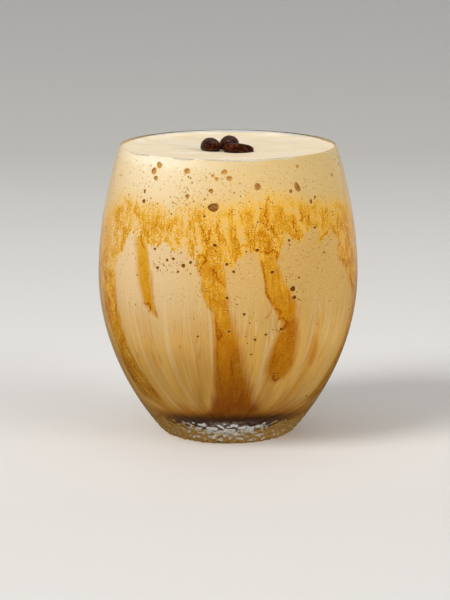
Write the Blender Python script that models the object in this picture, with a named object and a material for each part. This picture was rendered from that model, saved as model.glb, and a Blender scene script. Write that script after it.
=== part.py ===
"""Glass of caramel frappe: a stemless barrel tumbler, fluted inside, filled to just under its rim.

The origin is the middle of the flat foot, +Z is up and the drinker's side is -Y.
The drink is three layers, one on the other: a pool of caramel on the glass's floor, the whipped
frappe and a pale head of foam. Three roasted coffee beans lie on the foam and press into it a little.
"""

import math

import bmesh
import bpy
from mathutils import Euler, Matrix, Vector
from mathutils.geometry import interpolate_bezier

# Outside of the glass, in metres: the driving dimensions
GLASS_HEIGHT = 0.0987
RIM_RADIUS = 0.0368
BELLY_RADIUS = 0.0440
BELLY_HEIGHT = 0.055
HEEL_RADIUS = 0.0234
HEEL_HEIGHT = 0.0020
HEEL_SLOPE = math.radians(50)
FOOT_RADIUS = 0.0191
PUNT_RADIUS = 0.0140
PUNT_DEPTH = 0.0009
PUNT_BEND = (0.6, 0.75)

# Lengths of the handles that shape the wall's two curves, from each end
HEEL_REACH = 0.0166
LOWER_BELLY_REACH = 0.0214
UPPER_BELLY_REACH = 0.0139
RIM_REACH = 0.0140
RIM_LEAN = 0.317

# Hollow of the glass
FLOOR_HEIGHT = 0.0122
FLOOR_RADIUS = 0.0060
CORNER_REACH = 0.0128
WALL_HEIGHT = 0.0380
LOW_WALL = 0.0080
BELLY_WALL = 0.0016
RIM_WALL = 0.0011

# Flutes: scallops pressed into the inside, with a ridge between each two
FLUTES = 18
RIDGE_HEIGHT = 0.0009
RIDGE_TURN = math.radians(1.3 - 90)
RIDGE_STARTS_RADIUS = 0.0080
RIDGE_FULL_RADIUS = 0.0170
RIDGE_FADES_FROM = 0.030
RIDGE_ENDS = 0.062

# The drink
CLEARANCE = 0.0003
POOL_TOP = 0.0175
HEAD_BOTTOM = 0.082
FOAM_LEVEL = 0.0974
MENISCUS = 0.0008
SWIRL_DEPTH = 0.00022
SWIRL_ARMS = 3
SWIRL_TURNS = 1.6
MENISCUS_STEEPNESS = 12

# Coffee beans: each one's half length, half width, height of its domed back and depth of its flat
# face, where its middle lies in X, Y and above the foam, and its turn about X, Y and Z in degrees
BEANS = {
    "coffee_bean_left": ((0.0048, 0.0031, 0.0033, 0.0014), (-0.0060, -0.0032, 0.0011), (4, 5, 118)),
    "coffee_bean_middle": ((0.0048, 0.0034, 0.0032, 0.0014), (0.0004, 0.0026, 0.0011), (-5, -4, 79)),
    "coffee_bean_right": ((0.0053, 0.0033, 0.0029, 0.0014), (0.0034, -0.0065, 0.0010), (150, 4, 4)),
}
BEAN_TAPER = 0.12
FACE_FLATNESS = 0.6
CREASE_DEPTH = 0.0006
CREASE_HALF_WIDTH = 0.0007
CREASE_WANDER = 0.0004

# Facets: four to a flute round the glass
FACETS_ROUND = 4 * FLUTES
WALL_STEPS = 9
CORNER_STEPS = 5
HEEL_STEPS = 3
LIP_STEPS = 4
FOAM_RINGS = (1, 0.95, 0.84, 0.68, 0.5, 0.32, 0.15, 0)
FOAM_EDGE_ROOM = 0.002
BEAN_FACETS = 20
BEAN_RINGS = 12
SAME_POINT = 1e-7
ON_OUTLINE = 1e-5
SHARP_ANGLE = math.radians(40)


def clear_scene():
    """Empties the scene of whatever it opened with."""
    for thing in list(bpy.data.objects):
        bpy.data.objects.remove(thing)


def finish(name, colour, roughness, metallic=0.0, alpha=1.0, transmission=0.0):
    """A plain material for one sub-part."""
    material = bpy.data.materials.new(name)
    material.use_nodes = True
    shader = material.node_tree.nodes["Principled BSDF"]
    shader.inputs["Base Color"].default_value = (*colour, 1.0)
    shader.inputs["Roughness"].default_value = roughness
    shader.inputs["Metallic"].default_value = metallic
    shader.inputs["Alpha"].default_value = alpha
    shader.inputs["Transmission Weight"].default_value = transmission
    return material


def curve_points(start, start_handle, end_handle, end, steps):
    """Points along a Bezier curve in the (radius, height) plane."""
    corners = [Vector((p[0], 0, p[1])) for p in (start, start_handle, end_handle, end)]
    return [(p.x, p.z) for p in interpolate_bezier(*corners, steps + 1)]


def outer_wall():
    """The outside of the glass from the top of the heel up to the rim."""
    heel = (HEEL_RADIUS, HEEL_HEIGHT)
    heel_handle = (
        HEEL_RADIUS + HEEL_REACH * math.cos(HEEL_SLOPE),
        HEEL_HEIGHT + HEEL_REACH * math.sin(HEEL_SLOPE),
    )
    belly = (BELLY_RADIUS, BELLY_HEIGHT)
    below = (BELLY_RADIUS, BELLY_HEIGHT - LOWER_BELLY_REACH)
    above = (BELLY_RADIUS, BELLY_HEIGHT + UPPER_BELLY_REACH)
    rim_handle = (RIM_RADIUS + RIM_LEAN * RIM_REACH, GLASS_HEIGHT - RIM_REACH)
    rim = (RIM_RADIUS, GLASS_HEIGHT)
    lower = curve_points(heel, heel_handle, below, belly, WALL_STEPS)
    upper = curve_points(belly, above, rim_handle, rim, WALL_STEPS)
    return lower + upper[1:]


def wall_thickness(height):
    """The glass is thick near its floor, thinner at the belly and thinnest at the rim."""
    if height < BELLY_HEIGHT:
        share = 1 - height / BELLY_HEIGHT
        return BELLY_WALL + (LOW_WALL - BELLY_WALL) * share * share
    share = (height - BELLY_HEIGHT) / (GLASS_HEIGHT - BELLY_HEIGHT)
    return BELLY_WALL + (RIM_WALL - BELLY_WALL) * share


def moved_in(points, distance):
    """The points moved towards the axis, square to their line. distance is a function of height."""
    moved = []
    for index, (radius, height) in enumerate(points):
        before = points[max(index - 1, 0)]
        after = points[min(index + 1, len(points) - 1)]
        along = Vector((after[0] - before[0], after[1] - before[1])).normalized()
        step = distance(height)
        moved.append((radius - along.y * step, height + along.x * step))
    return moved


def hollow_wall():
    """The inside of the glass from the middle of its floor up to the rim."""
    wall = [p for p in moved_in(outer_wall(), wall_thickness) if p[1] > WALL_HEIGHT]
    first, second = Vector(wall[0]), Vector(wall[1])
    handle = first - (second - first).normalized() * CORNER_REACH
    corner = curve_points(
        (FLOOR_RADIUS, FLOOR_HEIGHT),
        (FLOOR_RADIUS + CORNER_REACH, FLOOR_HEIGHT),
        tuple(handle),
        wall[0],
        CORNER_STEPS,
    )
    return [(0.0, FLOOR_HEIGHT)] + corner + wall[1:]


def foot():
    """The underside, from the middle of the shallow punt to the rounded heel."""
    heel_round = HEEL_HEIGHT / (1 - math.cos(HEEL_SLOPE))
    centre = HEEL_RADIUS - heel_round * math.sin(HEEL_SLOPE)
    turns = [HEEL_SLOPE * step / HEEL_STEPS for step in range(1, HEEL_STEPS)]
    heel = [
        (centre + heel_round * math.sin(turn), heel_round * (1 - math.cos(turn)))
        for turn in turns
    ]
    bend = (PUNT_RADIUS * PUNT_BEND[0], PUNT_DEPTH * PUNT_BEND[1])
    return [(0.0, PUNT_DEPTH), bend, (PUNT_RADIUS, 0.0), (FOOT_RADIUS, 0.0)] + heel


def lip(outer, inner):
    """The rounded edge from the outer wall's top over to the inner wall's top."""
    middle = (Vector(outer) + Vector(inner)) / 2
    half = (Vector(outer) - Vector(inner)).length / 2
    turns = [math.pi * step / LIP_STEPS for step in range(1, LIP_STEPS)]
    return [
        (middle.x + half * math.cos(turn), middle.y + half * math.sin(turn))
        for turn in turns
    ]


def spun(name, outline):
    """A closed outline from axis to axis, turned once about Z."""
    mesh = bpy.data.meshes.new(name)
    shape = bmesh.new()
    corners = [shape.verts.new((radius, 0, height)) for radius, height in outline]
    edges = [shape.edges.new(pair) for pair in zip(corners, corners[1:])]
    bmesh.ops.spin(
        shape,
        geom=corners + edges,
        cent=(0, 0, 0),
        axis=(0, 0, 1),
        angle=2 * math.pi,
        steps=FACETS_ROUND,
        use_merge=True,
    )
    bmesh.ops.remove_doubles(shape, verts=shape.verts, dist=SAME_POINT)
    bmesh.ops.recalc_face_normals(shape, faces=shape.faces)
    shape.to_mesh(mesh)
    shape.free()
    thing = bpy.data.objects.new(name, mesh)
    bpy.context.collection.objects.link(thing)
    return thing


def smooth_step(value, low, high):
    """0 below low, 1 above high, and an even curve between."""
    share = min(max((value - low) / (high - low), 0), 1)
    return share * share * (3 - 2 * share)


def ridge(radius, height, angle):
    """How far the glass stands into the hollow there: sharp ridges between round scallops."""
    across = 1 - abs(math.sin(FLUTES / 2 * (angle - RIDGE_TURN)))
    outwards = smooth_step(radius, RIDGE_STARTS_RADIUS, RIDGE_FULL_RADIUS)
    upwards = 1 - smooth_step(height, RIDGE_FADES_FROM, RIDGE_ENDS)
    return RIDGE_HEIGHT * across * outwards * upwards


def flute(mesh, wall):
    """Raises the ridges on the vertices of a turned mesh that lie on the wall's outline."""
    for vertex in mesh.vertices:
        radius = math.hypot(vertex.co.x, vertex.co.y)
        height = vertex.co.z
        near = min(wall, key=lambda p: math.hypot(p[0] - radius, p[1] - height))
        away = math.hypot(near[0] - radius, near[1] - height)
        if radius < RIDGE_STARTS_RADIUS or away > ON_OUTLINE:
            continue
        index = wall.index(near)
        before = wall[max(index - 1, 0)]
        after = wall[min(index + 1, len(wall) - 1)]
        along = Vector((after[0] - before[0], after[1] - before[1])).normalized()
        step = ridge(radius, height, math.atan2(vertex.co.y, vertex.co.x))
        inwards = (radius - along.y * step) / radius
        vertex.co.x *= inwards
        vertex.co.y *= inwards
        vertex.co.z += along.x * step


def make_glass():
    """The tumbler, one solid of clear glass."""
    outer = outer_wall()
    hollow = hollow_wall()
    outline = foot() + outer + lip(outer[-1], hollow[-1]) + hollow[::-1]
    glass = spun("glass", outline)
    flute(glass.data, hollow)
    glass.data.materials.append(
        finish("clear_glass", (0.95, 0.96, 0.95), 0.02, alpha=0.35, transmission=1.0)
    )
    return glass


def foam_height(radius, edge_radius, angle):
    """Height of the foam's top: a low swirl, raised a little where it wets the glass."""
    share = radius / edge_radius
    wave = math.sin(SWIRL_ARMS * angle + SWIRL_TURNS * 2 * math.pi * share)
    swirl = SWIRL_DEPTH * wave * share * (1 - share ** 4)
    return FOAM_LEVEL + swirl + MENISCUS * share ** MENISCUS_STEEPNESS


def make_contents():
    """The whole fill of the glass in one turned solid, clear of the glass all round."""
    hollow = hollow_wall()
    wall = moved_in(hollow, lambda height: CLEARANCE)
    edge_radius = wall[-1][0]
    edge_height = FOAM_LEVEL + MENISCUS
    wall[0] = (0.0, FLOOR_HEIGHT + CLEARANCE)
    wall = [p for p in wall if p[1] < FOAM_LEVEL - FOAM_EDGE_ROOM]
    top = [(edge_radius * share, edge_height) for share in FOAM_RINGS]
    contents = spun("contents", wall + top)
    flute(contents.data, wall)
    for vertex in contents.data.vertices:
        if vertex.co.z > edge_height - ON_OUTLINE:
            radius = math.hypot(vertex.co.x, vertex.co.y)
            angle = math.atan2(vertex.co.y, vertex.co.x)
            vertex.co.z = foam_height(radius, edge_radius, angle)
    return contents


def layer(contents, name, bottom, top, material):
    """The slice of the contents between two heights, or all of it on a side given as None."""
    shape = bmesh.new()
    shape.from_mesh(contents.data)
    cuts = [(top, Vector((0, 0, 1))), (bottom, Vector((0, 0, -1)))]
    for height, away in cuts:
        if height is None:
            continue
        cut = bmesh.ops.bisect_plane(
            shape,
            geom=shape.verts[:] + shape.edges[:] + shape.faces[:],
            plane_co=(0, 0, height),
            plane_no=away,
            clear_outer=True,
        )
        rim = [item for item in cut["geom_cut"] if isinstance(item, bmesh.types.BMEdge)]
        bmesh.ops.edgeloop_fill(shape, edges=rim)
    bmesh.ops.recalc_face_normals(shape, faces=shape.faces)
    mesh = bpy.data.meshes.new(name)
    shape.to_mesh(mesh)
    shape.free()
    mesh.materials.append(material)
    thing = bpy.data.objects.new(name, mesh)
    bpy.context.collection.objects.link(thing)
    return thing


def bean_mesh(name, sizes, swell=0.0):
    """A roasted bean lying on its flat face, its crease along X. swell grows a plain one all round."""
    half_length, half_width, back, face = sizes
    shape = bmesh.new()
    bmesh.ops.create_uvsphere(shape, u_segments=BEAN_FACETS, v_segments=BEAN_RINGS, radius=1)
    bmesh.ops.rotate(shape, verts=shape.verts, matrix=Matrix.Rotation(math.pi / 2, 3, "Y"))
    for vertex in shape.verts:
        x, y, z = vertex.co
        middle = CREASE_WANDER * math.sin(math.pi * x)
        across = y * half_width * (1 - BEAN_TAPER * x)
        fold = math.exp(-(((across - middle) / CREASE_HALF_WIDTH) ** 2))
        crease = 0 if swell else CREASE_DEPTH * fold * max(-z, 0) * (1 - x ** 6)
        rise = z * (back + swell) if z > 0 else -abs(z) ** FACE_FLATNESS * (face + swell)
        vertex.co = (x * (half_length + swell), across + y * swell, rise + crease)
    bmesh.ops.recalc_face_normals(shape, faces=shape.faces)
    mesh = bpy.data.meshes.new(name)
    shape.to_mesh(mesh)
    shape.free()
    return mesh


def bean_object(name, mesh, spot, turn, collection):
    """Lays a bean's mesh in its place over the foam."""
    thing = bpy.data.objects.new(name, mesh)
    thing.location = (spot[0], spot[1], FOAM_LEVEL + spot[2])
    thing.rotation_euler = Euler([math.radians(degrees) for degrees in turn])
    collection.objects.link(thing)
    return thing


def make_beans():
    """The three beans, and the swollen copies that press their seats into the foam."""
    roast = finish("roasted_bean", (0.07, 0.022, 0.012), 0.45)
    seats = bpy.data.collections.new("bean_seats")
    bpy.context.scene.collection.children.link(seats)
    for name, (sizes, spot, turn) in BEANS.items():
        mesh = bean_mesh(name, sizes)
        mesh.materials.append(roast)
        bean_object(name, mesh, spot, turn, bpy.context.collection)
        seat_mesh = bean_mesh(name + "_seat", sizes, swell=CLEARANCE)
        seat = bean_object(name + "_seat", seat_mesh, spot, turn, seats)
        seat.hide_render = True
        seat.display_type = "WIRE"
    return seats


def make_drink(seats):
    """The three layers of the drink, the foam pressed in under the beans."""
    contents = make_contents()
    half_gap = CLEARANCE / 2
    pool = finish("caramel", (0.19, 0.06, 0.008), 0.25)
    body = finish("whipped_frappe", (0.66, 0.44, 0.20), 0.5)
    head = finish("milk_foam", (0.86, 0.74, 0.53), 0.6)
    layer(contents, "caramel_pool", None, POOL_TOP - half_gap, pool)
    layer(contents, "frappe", POOL_TOP + half_gap, HEAD_BOTTOM - half_gap, body)
    foam = layer(contents, "foam_head", HEAD_BOTTOM + half_gap, None, head)
    press = foam.modifiers.new("bean_seats", "BOOLEAN")
    press.operation = "DIFFERENCE"
    press.operand_type = "COLLECTION"
    press.collection = seats
    bpy.data.objects.remove(contents)


def shade():
    """Shades the round pieces smooth and keeps their true edges."""
    for thing in bpy.context.scene.objects:
        thing.data.shade_smooth()
        thing.data.set_sharp_from_angle(angle=SHARP_ANGLE)


def main():
    """Makes every solid of the glass of frappe."""
    clear_scene()
    make_glass()
    make_drink(make_beans())
    shade()


main()
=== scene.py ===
"""Looks of a glass of caramel frappe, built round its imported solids.

The glass is a pressed, stemless barrel tumbler with flutes on its inside. The drink in it is whipped
coffee and milk with a head of foam, marbled against the wall with caramel that has run down from a
band under the foam and gathered on the glass's floor. Three roasted coffee beans lie on the foam.

Shapes are in metres. Places on the wall of the drink are an azimuth in degrees, 0 towards the drinker
and growing to the drinker's right, and a height in millimetres over the foot.
"""

import logging
import math
from collections.abc import Callable, Mapping, Sequence
from dataclasses import dataclass, field
from enum import Enum

import bpy
import numpy as np
from bpy.types import Material, Node, NodeSocket, NodeTree, Object
from mathutils import Euler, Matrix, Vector, noise


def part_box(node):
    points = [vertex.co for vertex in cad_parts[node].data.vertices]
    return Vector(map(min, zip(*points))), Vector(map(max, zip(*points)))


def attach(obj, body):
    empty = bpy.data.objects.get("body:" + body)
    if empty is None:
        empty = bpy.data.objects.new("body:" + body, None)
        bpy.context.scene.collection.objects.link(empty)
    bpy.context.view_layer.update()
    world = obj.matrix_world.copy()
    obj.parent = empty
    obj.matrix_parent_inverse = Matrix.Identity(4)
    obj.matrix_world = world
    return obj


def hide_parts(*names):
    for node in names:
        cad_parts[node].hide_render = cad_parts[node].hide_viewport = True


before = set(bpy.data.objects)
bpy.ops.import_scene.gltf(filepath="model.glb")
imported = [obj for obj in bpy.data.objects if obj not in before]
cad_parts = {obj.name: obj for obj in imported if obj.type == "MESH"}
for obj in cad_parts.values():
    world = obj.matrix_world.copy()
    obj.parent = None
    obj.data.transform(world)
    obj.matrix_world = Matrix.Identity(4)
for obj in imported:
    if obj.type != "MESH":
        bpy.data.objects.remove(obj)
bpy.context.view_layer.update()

LOG = logging.getLogger("caramel_frappe")
BODY = "root"
MM = 0.001
TINY = 1e-9
WALL_RADIUS = 42.0
Array = np.ndarray
Pair = tuple[float, float]
Spot = tuple[float, float, float]
Line = tuple[Pair, ...]
Stops = tuple[tuple[float, str], ...]
Parts = Mapping[str, Node | NodeSocket]
RadiusAt = Callable[[Array], Array]


class Kind(Enum):
    """The nodes that the finishes are mostly made of: each one's type, and its settings."""

    TIMES = ("ShaderNodeMath", {"operation": "MULTIPLY"})
    SUM = ("ShaderNodeMath", {"operation": "MULTIPLY_ADD"})
    BELOW = ("ShaderNodeMath", {"operation": "LESS_THAN"})
    LARGER = ("ShaderNodeMath", {"operation": "MAXIMUM"})
    SIZE = ("ShaderNodeMath", {"operation": "ABSOLUTE"})
    SCALED = ("ShaderNodeVectorMath", {"operation": "MULTIPLY"})
    RANGE = ("ShaderNodeMapRange", {"interpolation_type": "LINEAR"})
    RISE = ("ShaderNodeMapRange", {"interpolation_type": "SMOOTHSTEP"})


class Slot(Enum):
    """The record's material slots."""

    GLASS = "clear_glass"
    CARAMEL = "caramel"
    FRAPPE = "frappe"
    FOAM = "foam"
    BEAN = "roasted_bean"


def linear(colour: str) -> tuple[float, float, float, float]:
    """Turns an sRGB hex colour to the linear values that shaders use.

    Args:
        colour: six hex digits after a hash.

    Returns:
        Red, green, blue and an alpha of 1.
    """
    shares = [int(colour[start:start + 2], 16) / 255 for start in (1, 3, 5)]
    light = [c / 12.92 if c <= 0.04045 else ((c + 0.055) / 1.055) ** 2.4 for c in shares]
    return (*light, 1.0)


def smooth_step(value: Array, low: float, high: float) -> Array:
    """Rises evenly from 0 at low to 1 at high.

    Args:
        value: what is measured.
        low: where the step starts. It may be above high, and the step then falls.
        high: where the step ends.

    Returns:
        Shares from 0 to 1.
    """
    share = np.clip((value - low) / (high - low), 0, 1)
    return share * share * (3 - 2 * share)


def add(
    tree: NodeTree, kind: str | Kind, inputs: Mapping[int | str, object] | Sequence[object] = (),
    stops: Sequence[tuple[float, str]] = (), **settings: object,
) -> Node:
    """Adds a node with its settings and links.

    Args:
        tree: the material's or the world's nodes.
        kind: the node's type, or its kind.
        inputs: for a socket's name or number, or for the first sockets in order, its value or the
            output or node that it is linked to. A node stands for its first output in use.
        stops: the places and colours of a colour ramp.
        settings: the node's own properties.

    Returns:
        The new node.
    """
    if isinstance(kind, Kind):
        kind, settings = kind.value[0], {**kind.value[1], **settings}
    node = tree.nodes.new(kind)
    for name, value in settings.items():
        setattr(node, name, value)
    pairs = inputs.items() if isinstance(inputs, Mapping) else enumerate(inputs)
    for socket, value in pairs:
        if isinstance(value, Node):
            value = next(output for output in value.outputs if output.enabled)
        if isinstance(value, NodeSocket):
            tree.links.new(value, node.inputs[socket])
        else:
            node.inputs[socket].default_value = value
    for number, (place, colour) in enumerate(stops):
        elements = node.color_ramp.elements
        stop = elements[number] if number < 2 else elements.new(place)
        stop.position = place
        stop.color = linear(colour)
    return node


def ramp(ends: Pair) -> tuple[float, ...]:
    """A range's values for going from 0 at the first end to 1 at the second."""
    falls = ends[0] > ends[1]
    return min(ends), max(ends), float(falls), float(not falls)


def place_in_mm(tree: NodeTree) -> Node:
    """The place on a piece in millimetres, which every pattern starts from."""
    spot = add(tree, "ShaderNodeTexCoord").outputs["Object"]
    return add(tree, Kind.SCALED, (spot, (1 / MM,) * 3))


def coated(tree: NodeTree, colour: object, coats: Sequence[tuple[object, object]]) -> Node:
    """Lays coats of colour over one another.

    Args:
        tree: the material's nodes.
        colour: what they are laid on, as a node or a linear colour.
        coats: for each, the share that it covers, and its colour in the same way.

    Returns:
        The node of the last coat.
    """
    for share, coat in coats:
        colour = add(tree, "ShaderNodeMix", {0: share, 6: colour, 7: coat}, data_type="RGBA")
    return colour


def new_material(name: str) -> tuple[Material, NodeTree]:
    """Starts an empty material.

    Args:
        name: the finish's name.

    Returns:
        The material and its nodes.
    """
    material = bpy.data.materials.new(name)
    material.use_nodes = True
    material.node_tree.nodes.clear()
    return material, material.node_tree


def new_piece(
    name: str, points: Array, faces: Sequence[Sequence[int]], materials: Sequence[Material],
    fields: Mapping[str, Array] | None = None, sharp_angle: float = math.radians(60),
) -> Object:
    """Makes a piece of mesh and puts it in the scene.

    Args:
        name: the piece's name.
        points: its vertices, one row each.
        faces: the vertices of each face.
        materials: its finishes, in the order of its slots.
        fields: values on the vertices that its finish reads, by name.
        sharp_angle: an edge that turns more than this stays sharp.

    Returns:
        The new object.
    """
    mesh = bpy.data.meshes.new(name)
    mesh.from_pydata(points.tolist(), [], [tuple(face) for face in faces])
    for label, values in (fields or {}).items():
        layer = mesh.attributes.new(label, "FLOAT", "POINT")
        layer.data.foreach_set("value", np.asarray(values, dtype=np.float32))
    for material in materials:
        mesh.materials.append(material)
    mesh.shade_smooth()
    mesh.set_sharp_from_angle(angle=sharp_angle)
    piece = bpy.data.objects.new(name, mesh)
    bpy.context.collection.objects.link(piece)
    return piece


def place(piece: Object, slot: Slot, *nodes: str) -> None:
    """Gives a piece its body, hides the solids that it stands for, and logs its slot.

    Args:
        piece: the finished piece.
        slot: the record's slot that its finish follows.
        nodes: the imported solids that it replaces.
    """
    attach(piece, BODY)
    if nodes:
        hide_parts(*nodes)
    LOG.info("%s: %d faces, %s", piece.name, len(piece.data.polygons), slot.value)


def bezier(corners: Sequence[Pair], steps: int) -> Array:
    """Points along a Bezier curve in the plane of radius and height.

    Args:
        corners: its start, its two handles and its end.
        steps: how many stretches it is cut into.

    Returns:
        One row of radius and height for each point.
    """
    share = np.linspace(0, 1, steps + 1)[:, None]
    start, start_handle, end_handle, end = (np.array(corner) for corner in corners)
    return (
        (1 - share) ** 3 * start
        + 3 * (1 - share) ** 2 * share * start_handle
        + 3 * (1 - share) * share ** 2 * end_handle
        + share ** 3 * end
    )


def sideways(line: Array) -> Array:
    """Unit steps towards the axis, square to a line that runs upwards.

    Args:
        line: rows of radius and height.

    Returns:
        One row of radius and height for each point of the line.
    """
    along = np.gradient(line, axis=0)
    along /= np.linalg.norm(along, axis=1)[:, None]
    return np.column_stack((-along[:, 1], along[:, 0]))


def respaced(line: Array, spacing: float) -> Array:
    """The same line with its points evenly apart.

    Args:
        line: rows of radius and height.
        spacing: about how far apart they come to lie.

    Returns:
        The new rows.
    """
    run = np.concatenate(([0.0], np.cumsum(np.linalg.norm(np.diff(line, axis=0), axis=1))))
    places = np.linspace(0, run[-1], max(2, round(run[-1] / spacing) + 1))
    return np.column_stack([np.interp(places, run, line[:, axis]) for axis in (0, 1)])


def turned(line: Array, columns: int, inwards: Array | None = None) -> Array:
    """Turns a line about the upright axis.

    Args:
        line: rows of radius and height.
        columns: how many points go round.
        inwards: how far each point is moved towards the axis, square to the line.

    Returns:
        Places by row of the line, column and axis.
    """
    angle = column_angles(columns)
    step = np.zeros((len(line), columns)) if inwards is None else inwards
    square = sideways(line)
    radius = line[:, :1] + square[:, :1] * step
    height = line[:, 1:] + square[:, 1:] * step
    return np.stack((radius * np.cos(angle), radius * np.sin(angle), height), axis=2)


def column_angles(columns: int) -> Array:
    """The angle from +X of each column of a turned piece."""
    return np.arange(columns) * (2 * math.pi / columns)


def closed_skin(rows: Array) -> tuple[Array, list[tuple[int, ...]]]:
    """Joins rows of points, lowest on the axis first, into a closed skin with its faces outwards.

    Args:
        rows: places by row, column and axis. A fan closes the first row below and the last above.

    Returns:
        The points and the faces.
    """
    return closed_ball(rows, [rows[row].mean(axis=0) * (0, 0, 1) for row in (0, -1)])


def closed_ball(rows: Array, ends: Sequence[Array]) -> tuple[Array, list[tuple[int, ...]]]:
    """Joins the rings of a ball-like shape and closes both ends.

    Args:
        rows: places by ring, column and axis, turning right-handed about the way from first to last.
        ends: the points at its first and its last end.

    Returns:
        The points and the faces.
    """
    count, columns, _ = rows.shape
    points = np.vstack((rows.reshape(-1, 3), ends))
    here = np.arange(count * columns).reshape(count, columns)
    after = np.roll(here, -1, axis=1)
    quads = np.stack((here[:-1], after[:-1], after[1:], here[1:]), axis=2).reshape(-1, 4)
    first, last = count * columns, count * columns + 1
    faces = [tuple(quad) for quad in quads.tolist()]
    faces += [(first, b, a) for a, b in zip(here[0].tolist(), after[0].tolist())]
    faces += [(last, a, b) for a, b in zip(here[-1].tolist(), after[-1].tolist())]
    return points, faces


def lumps(coarse: Vector, fine: Vector) -> float:
    """Unevenness of two sizes, the finer one half as strong, at a place given in each size's own unit."""
    return noise.noise(coarse) + noise.noise(fine) / 2


@dataclass(frozen=True)
class Tumbler:
    """Sizes of the pressed glass, and the lines that its walls follow."""

    height: float = 0.0987
    rim_radius: float = 0.0368
    belly_radius: float = 0.0440
    belly_height: float = 0.055
    heel_radius: float = 0.0234
    heel_height: float = 0.0020
    heel_slope: float = math.radians(50)
    foot_radius: float = 0.0191
    punt_radius: float = 0.0140
    punt_depth: float = 0.0009
    heel_reach: float = 0.0166
    lower_belly_reach: float = 0.0214
    upper_belly_reach: float = 0.0139
    rim_reach: float = 0.0140
    rim_lean: float = 0.317
    floor_height: float = 0.0122
    floor_radius: float = 0.0060
    corner_reach: float = 0.0128
    wall_height: float = 0.0380
    low_wall: float = 0.0080
    belly_wall: float = 0.0016
    rim_wall: float = 0.0011
    flutes: int = 18
    ridge_height: float = 0.0009
    ridge_turn: float = math.radians(1.3 - 90)
    ridge_starts_radius: float = 0.0080
    ridge_full_radius: float = 0.0170
    ridge_fades_from: float = 0.030
    ridge_ends: float = 0.062
    columns: int = 432
    spacing: float = 0.0016
    foot_spacing: float = 0.0004
    wall_steps: int = 200
    corner_steps: int = 100
    heel_steps: int = 8
    ring_steps: int = 4
    dome_start: float = 0.001
    dome_rings: int = 16
    lip_steps: int = 10
    flat_to: float = 0.00001
    crinkle: float = 0.0007
    crinkle_mean: float = 0.4
    crinkle_gain: float = 0.7
    crinkle_size: float = 0.0013
    crinkle_detail: float = 2.3
    crinkle_stretch: float = 2.6
    crinkle_top: float = 0.0104

    def outside(self) -> Array:
        """The outer wall, from the top of the heel up to the rim."""
        heel = np.array((self.heel_radius, self.heel_height))
        rise = self.heel_reach * np.array((math.cos(self.heel_slope), math.sin(self.heel_slope)))
        belly = np.array((self.belly_radius, self.belly_height))
        rim = np.array((self.rim_radius, self.height))
        lean = self.rim_reach * np.array((self.rim_lean, -1.0))
        low, high = (0.0, self.lower_belly_reach), (0.0, self.upper_belly_reach)
        lower = bezier((heel, heel + rise, belly - low, belly), self.wall_steps)
        upper = bezier((belly, belly + high, rim + lean, rim), self.wall_steps)
        return np.vstack((lower, upper[1:]))

    def thickness(self, height: Array) -> Array:
        """How thick the wall is at each height: thick by the floor and thin at the rim."""
        below = 1 - height / self.belly_height
        above = (height - self.belly_height) / (self.height - self.belly_height)
        low = self.belly_wall + (self.low_wall - self.belly_wall) * below ** 2
        high = self.belly_wall + (self.rim_wall - self.belly_wall) * above
        return np.where(height < self.belly_height, low, high)

    def inside(self) -> Array:
        """The hollow, from the edge of the flat floor up to the rim."""
        outside = self.outside()
        wall = outside + sideways(outside) * self.thickness(outside[:, 1])[:, None]
        wall = wall[wall[:, 1] > self.wall_height]
        slope = wall[1] - wall[0]
        handle = wall[0] - slope / np.linalg.norm(slope) * self.corner_reach
        floor_end = (self.floor_radius, self.floor_height)
        floor_handle = (self.floor_radius + self.corner_reach, self.floor_height)
        corner = bezier((floor_end, floor_handle, tuple(handle), tuple(wall[0])), self.corner_steps)
        return np.vstack((corner, wall[1:]))

    def ridges(self, line: Array, angle: Array) -> Array:
        """How far the ridges between the scallops stand into the hollow.

        Args:
            line: rows of radius and height.
            angle: the angle from +X of each column.

        Returns:
            The rise by row and column.
        """
        across = 1 - np.abs(np.sin(self.flutes / 2 * (angle - self.ridge_turn)))
        outwards = smooth_step(line[:, 0], self.ridge_starts_radius, self.ridge_full_radius)
        upwards = smooth_step(line[:, 1], self.ridge_ends, self.ridge_fades_from)
        return self.ridge_height * (outwards * upwards)[:, None] * across[None, :]

    def underside(self) -> Array:
        """The shallow punt, the ring that it stands on, and the rounded heel."""
        heel_round = self.heel_height / (1 - math.cos(self.heel_slope))
        centre = self.heel_radius - heel_round * math.sin(self.heel_slope)
        turn = np.linspace(0, self.heel_slope, self.heel_steps + 1)[1:-1]
        heel = np.column_stack((centre + heel_round * np.sin(turn), heel_round * (1 - np.cos(turn))))
        radius = np.linspace(self.dome_start, self.punt_radius, self.dome_rings)
        dome = self.punt_depth * (1 - (radius / self.punt_radius) ** 3)
        flat = np.linspace(self.punt_radius, self.foot_radius, self.ring_steps + 1)[1:]
        ring = np.column_stack((flat, np.zeros(self.ring_steps)))
        return np.vstack((np.column_stack((radius, dome)), ring, heel))

    def lip(self, outer: Array, inner: Array) -> Array:
        """The fire-polished edge, a half round from the outer wall's top to the inner wall's.

        Args:
            outer: radius and height where it starts.
            inner: radius and height where it ends.

        Returns:
            The rows between them.
        """
        middle = (outer + inner) / 2
        half = np.linalg.norm(outer - inner) / 2
        turn = np.linspace(0, math.pi, self.lip_steps + 1)[1:-1]
        return np.column_stack((middle[0] + half * np.cos(turn), middle[1] + half * np.sin(turn)))

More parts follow.
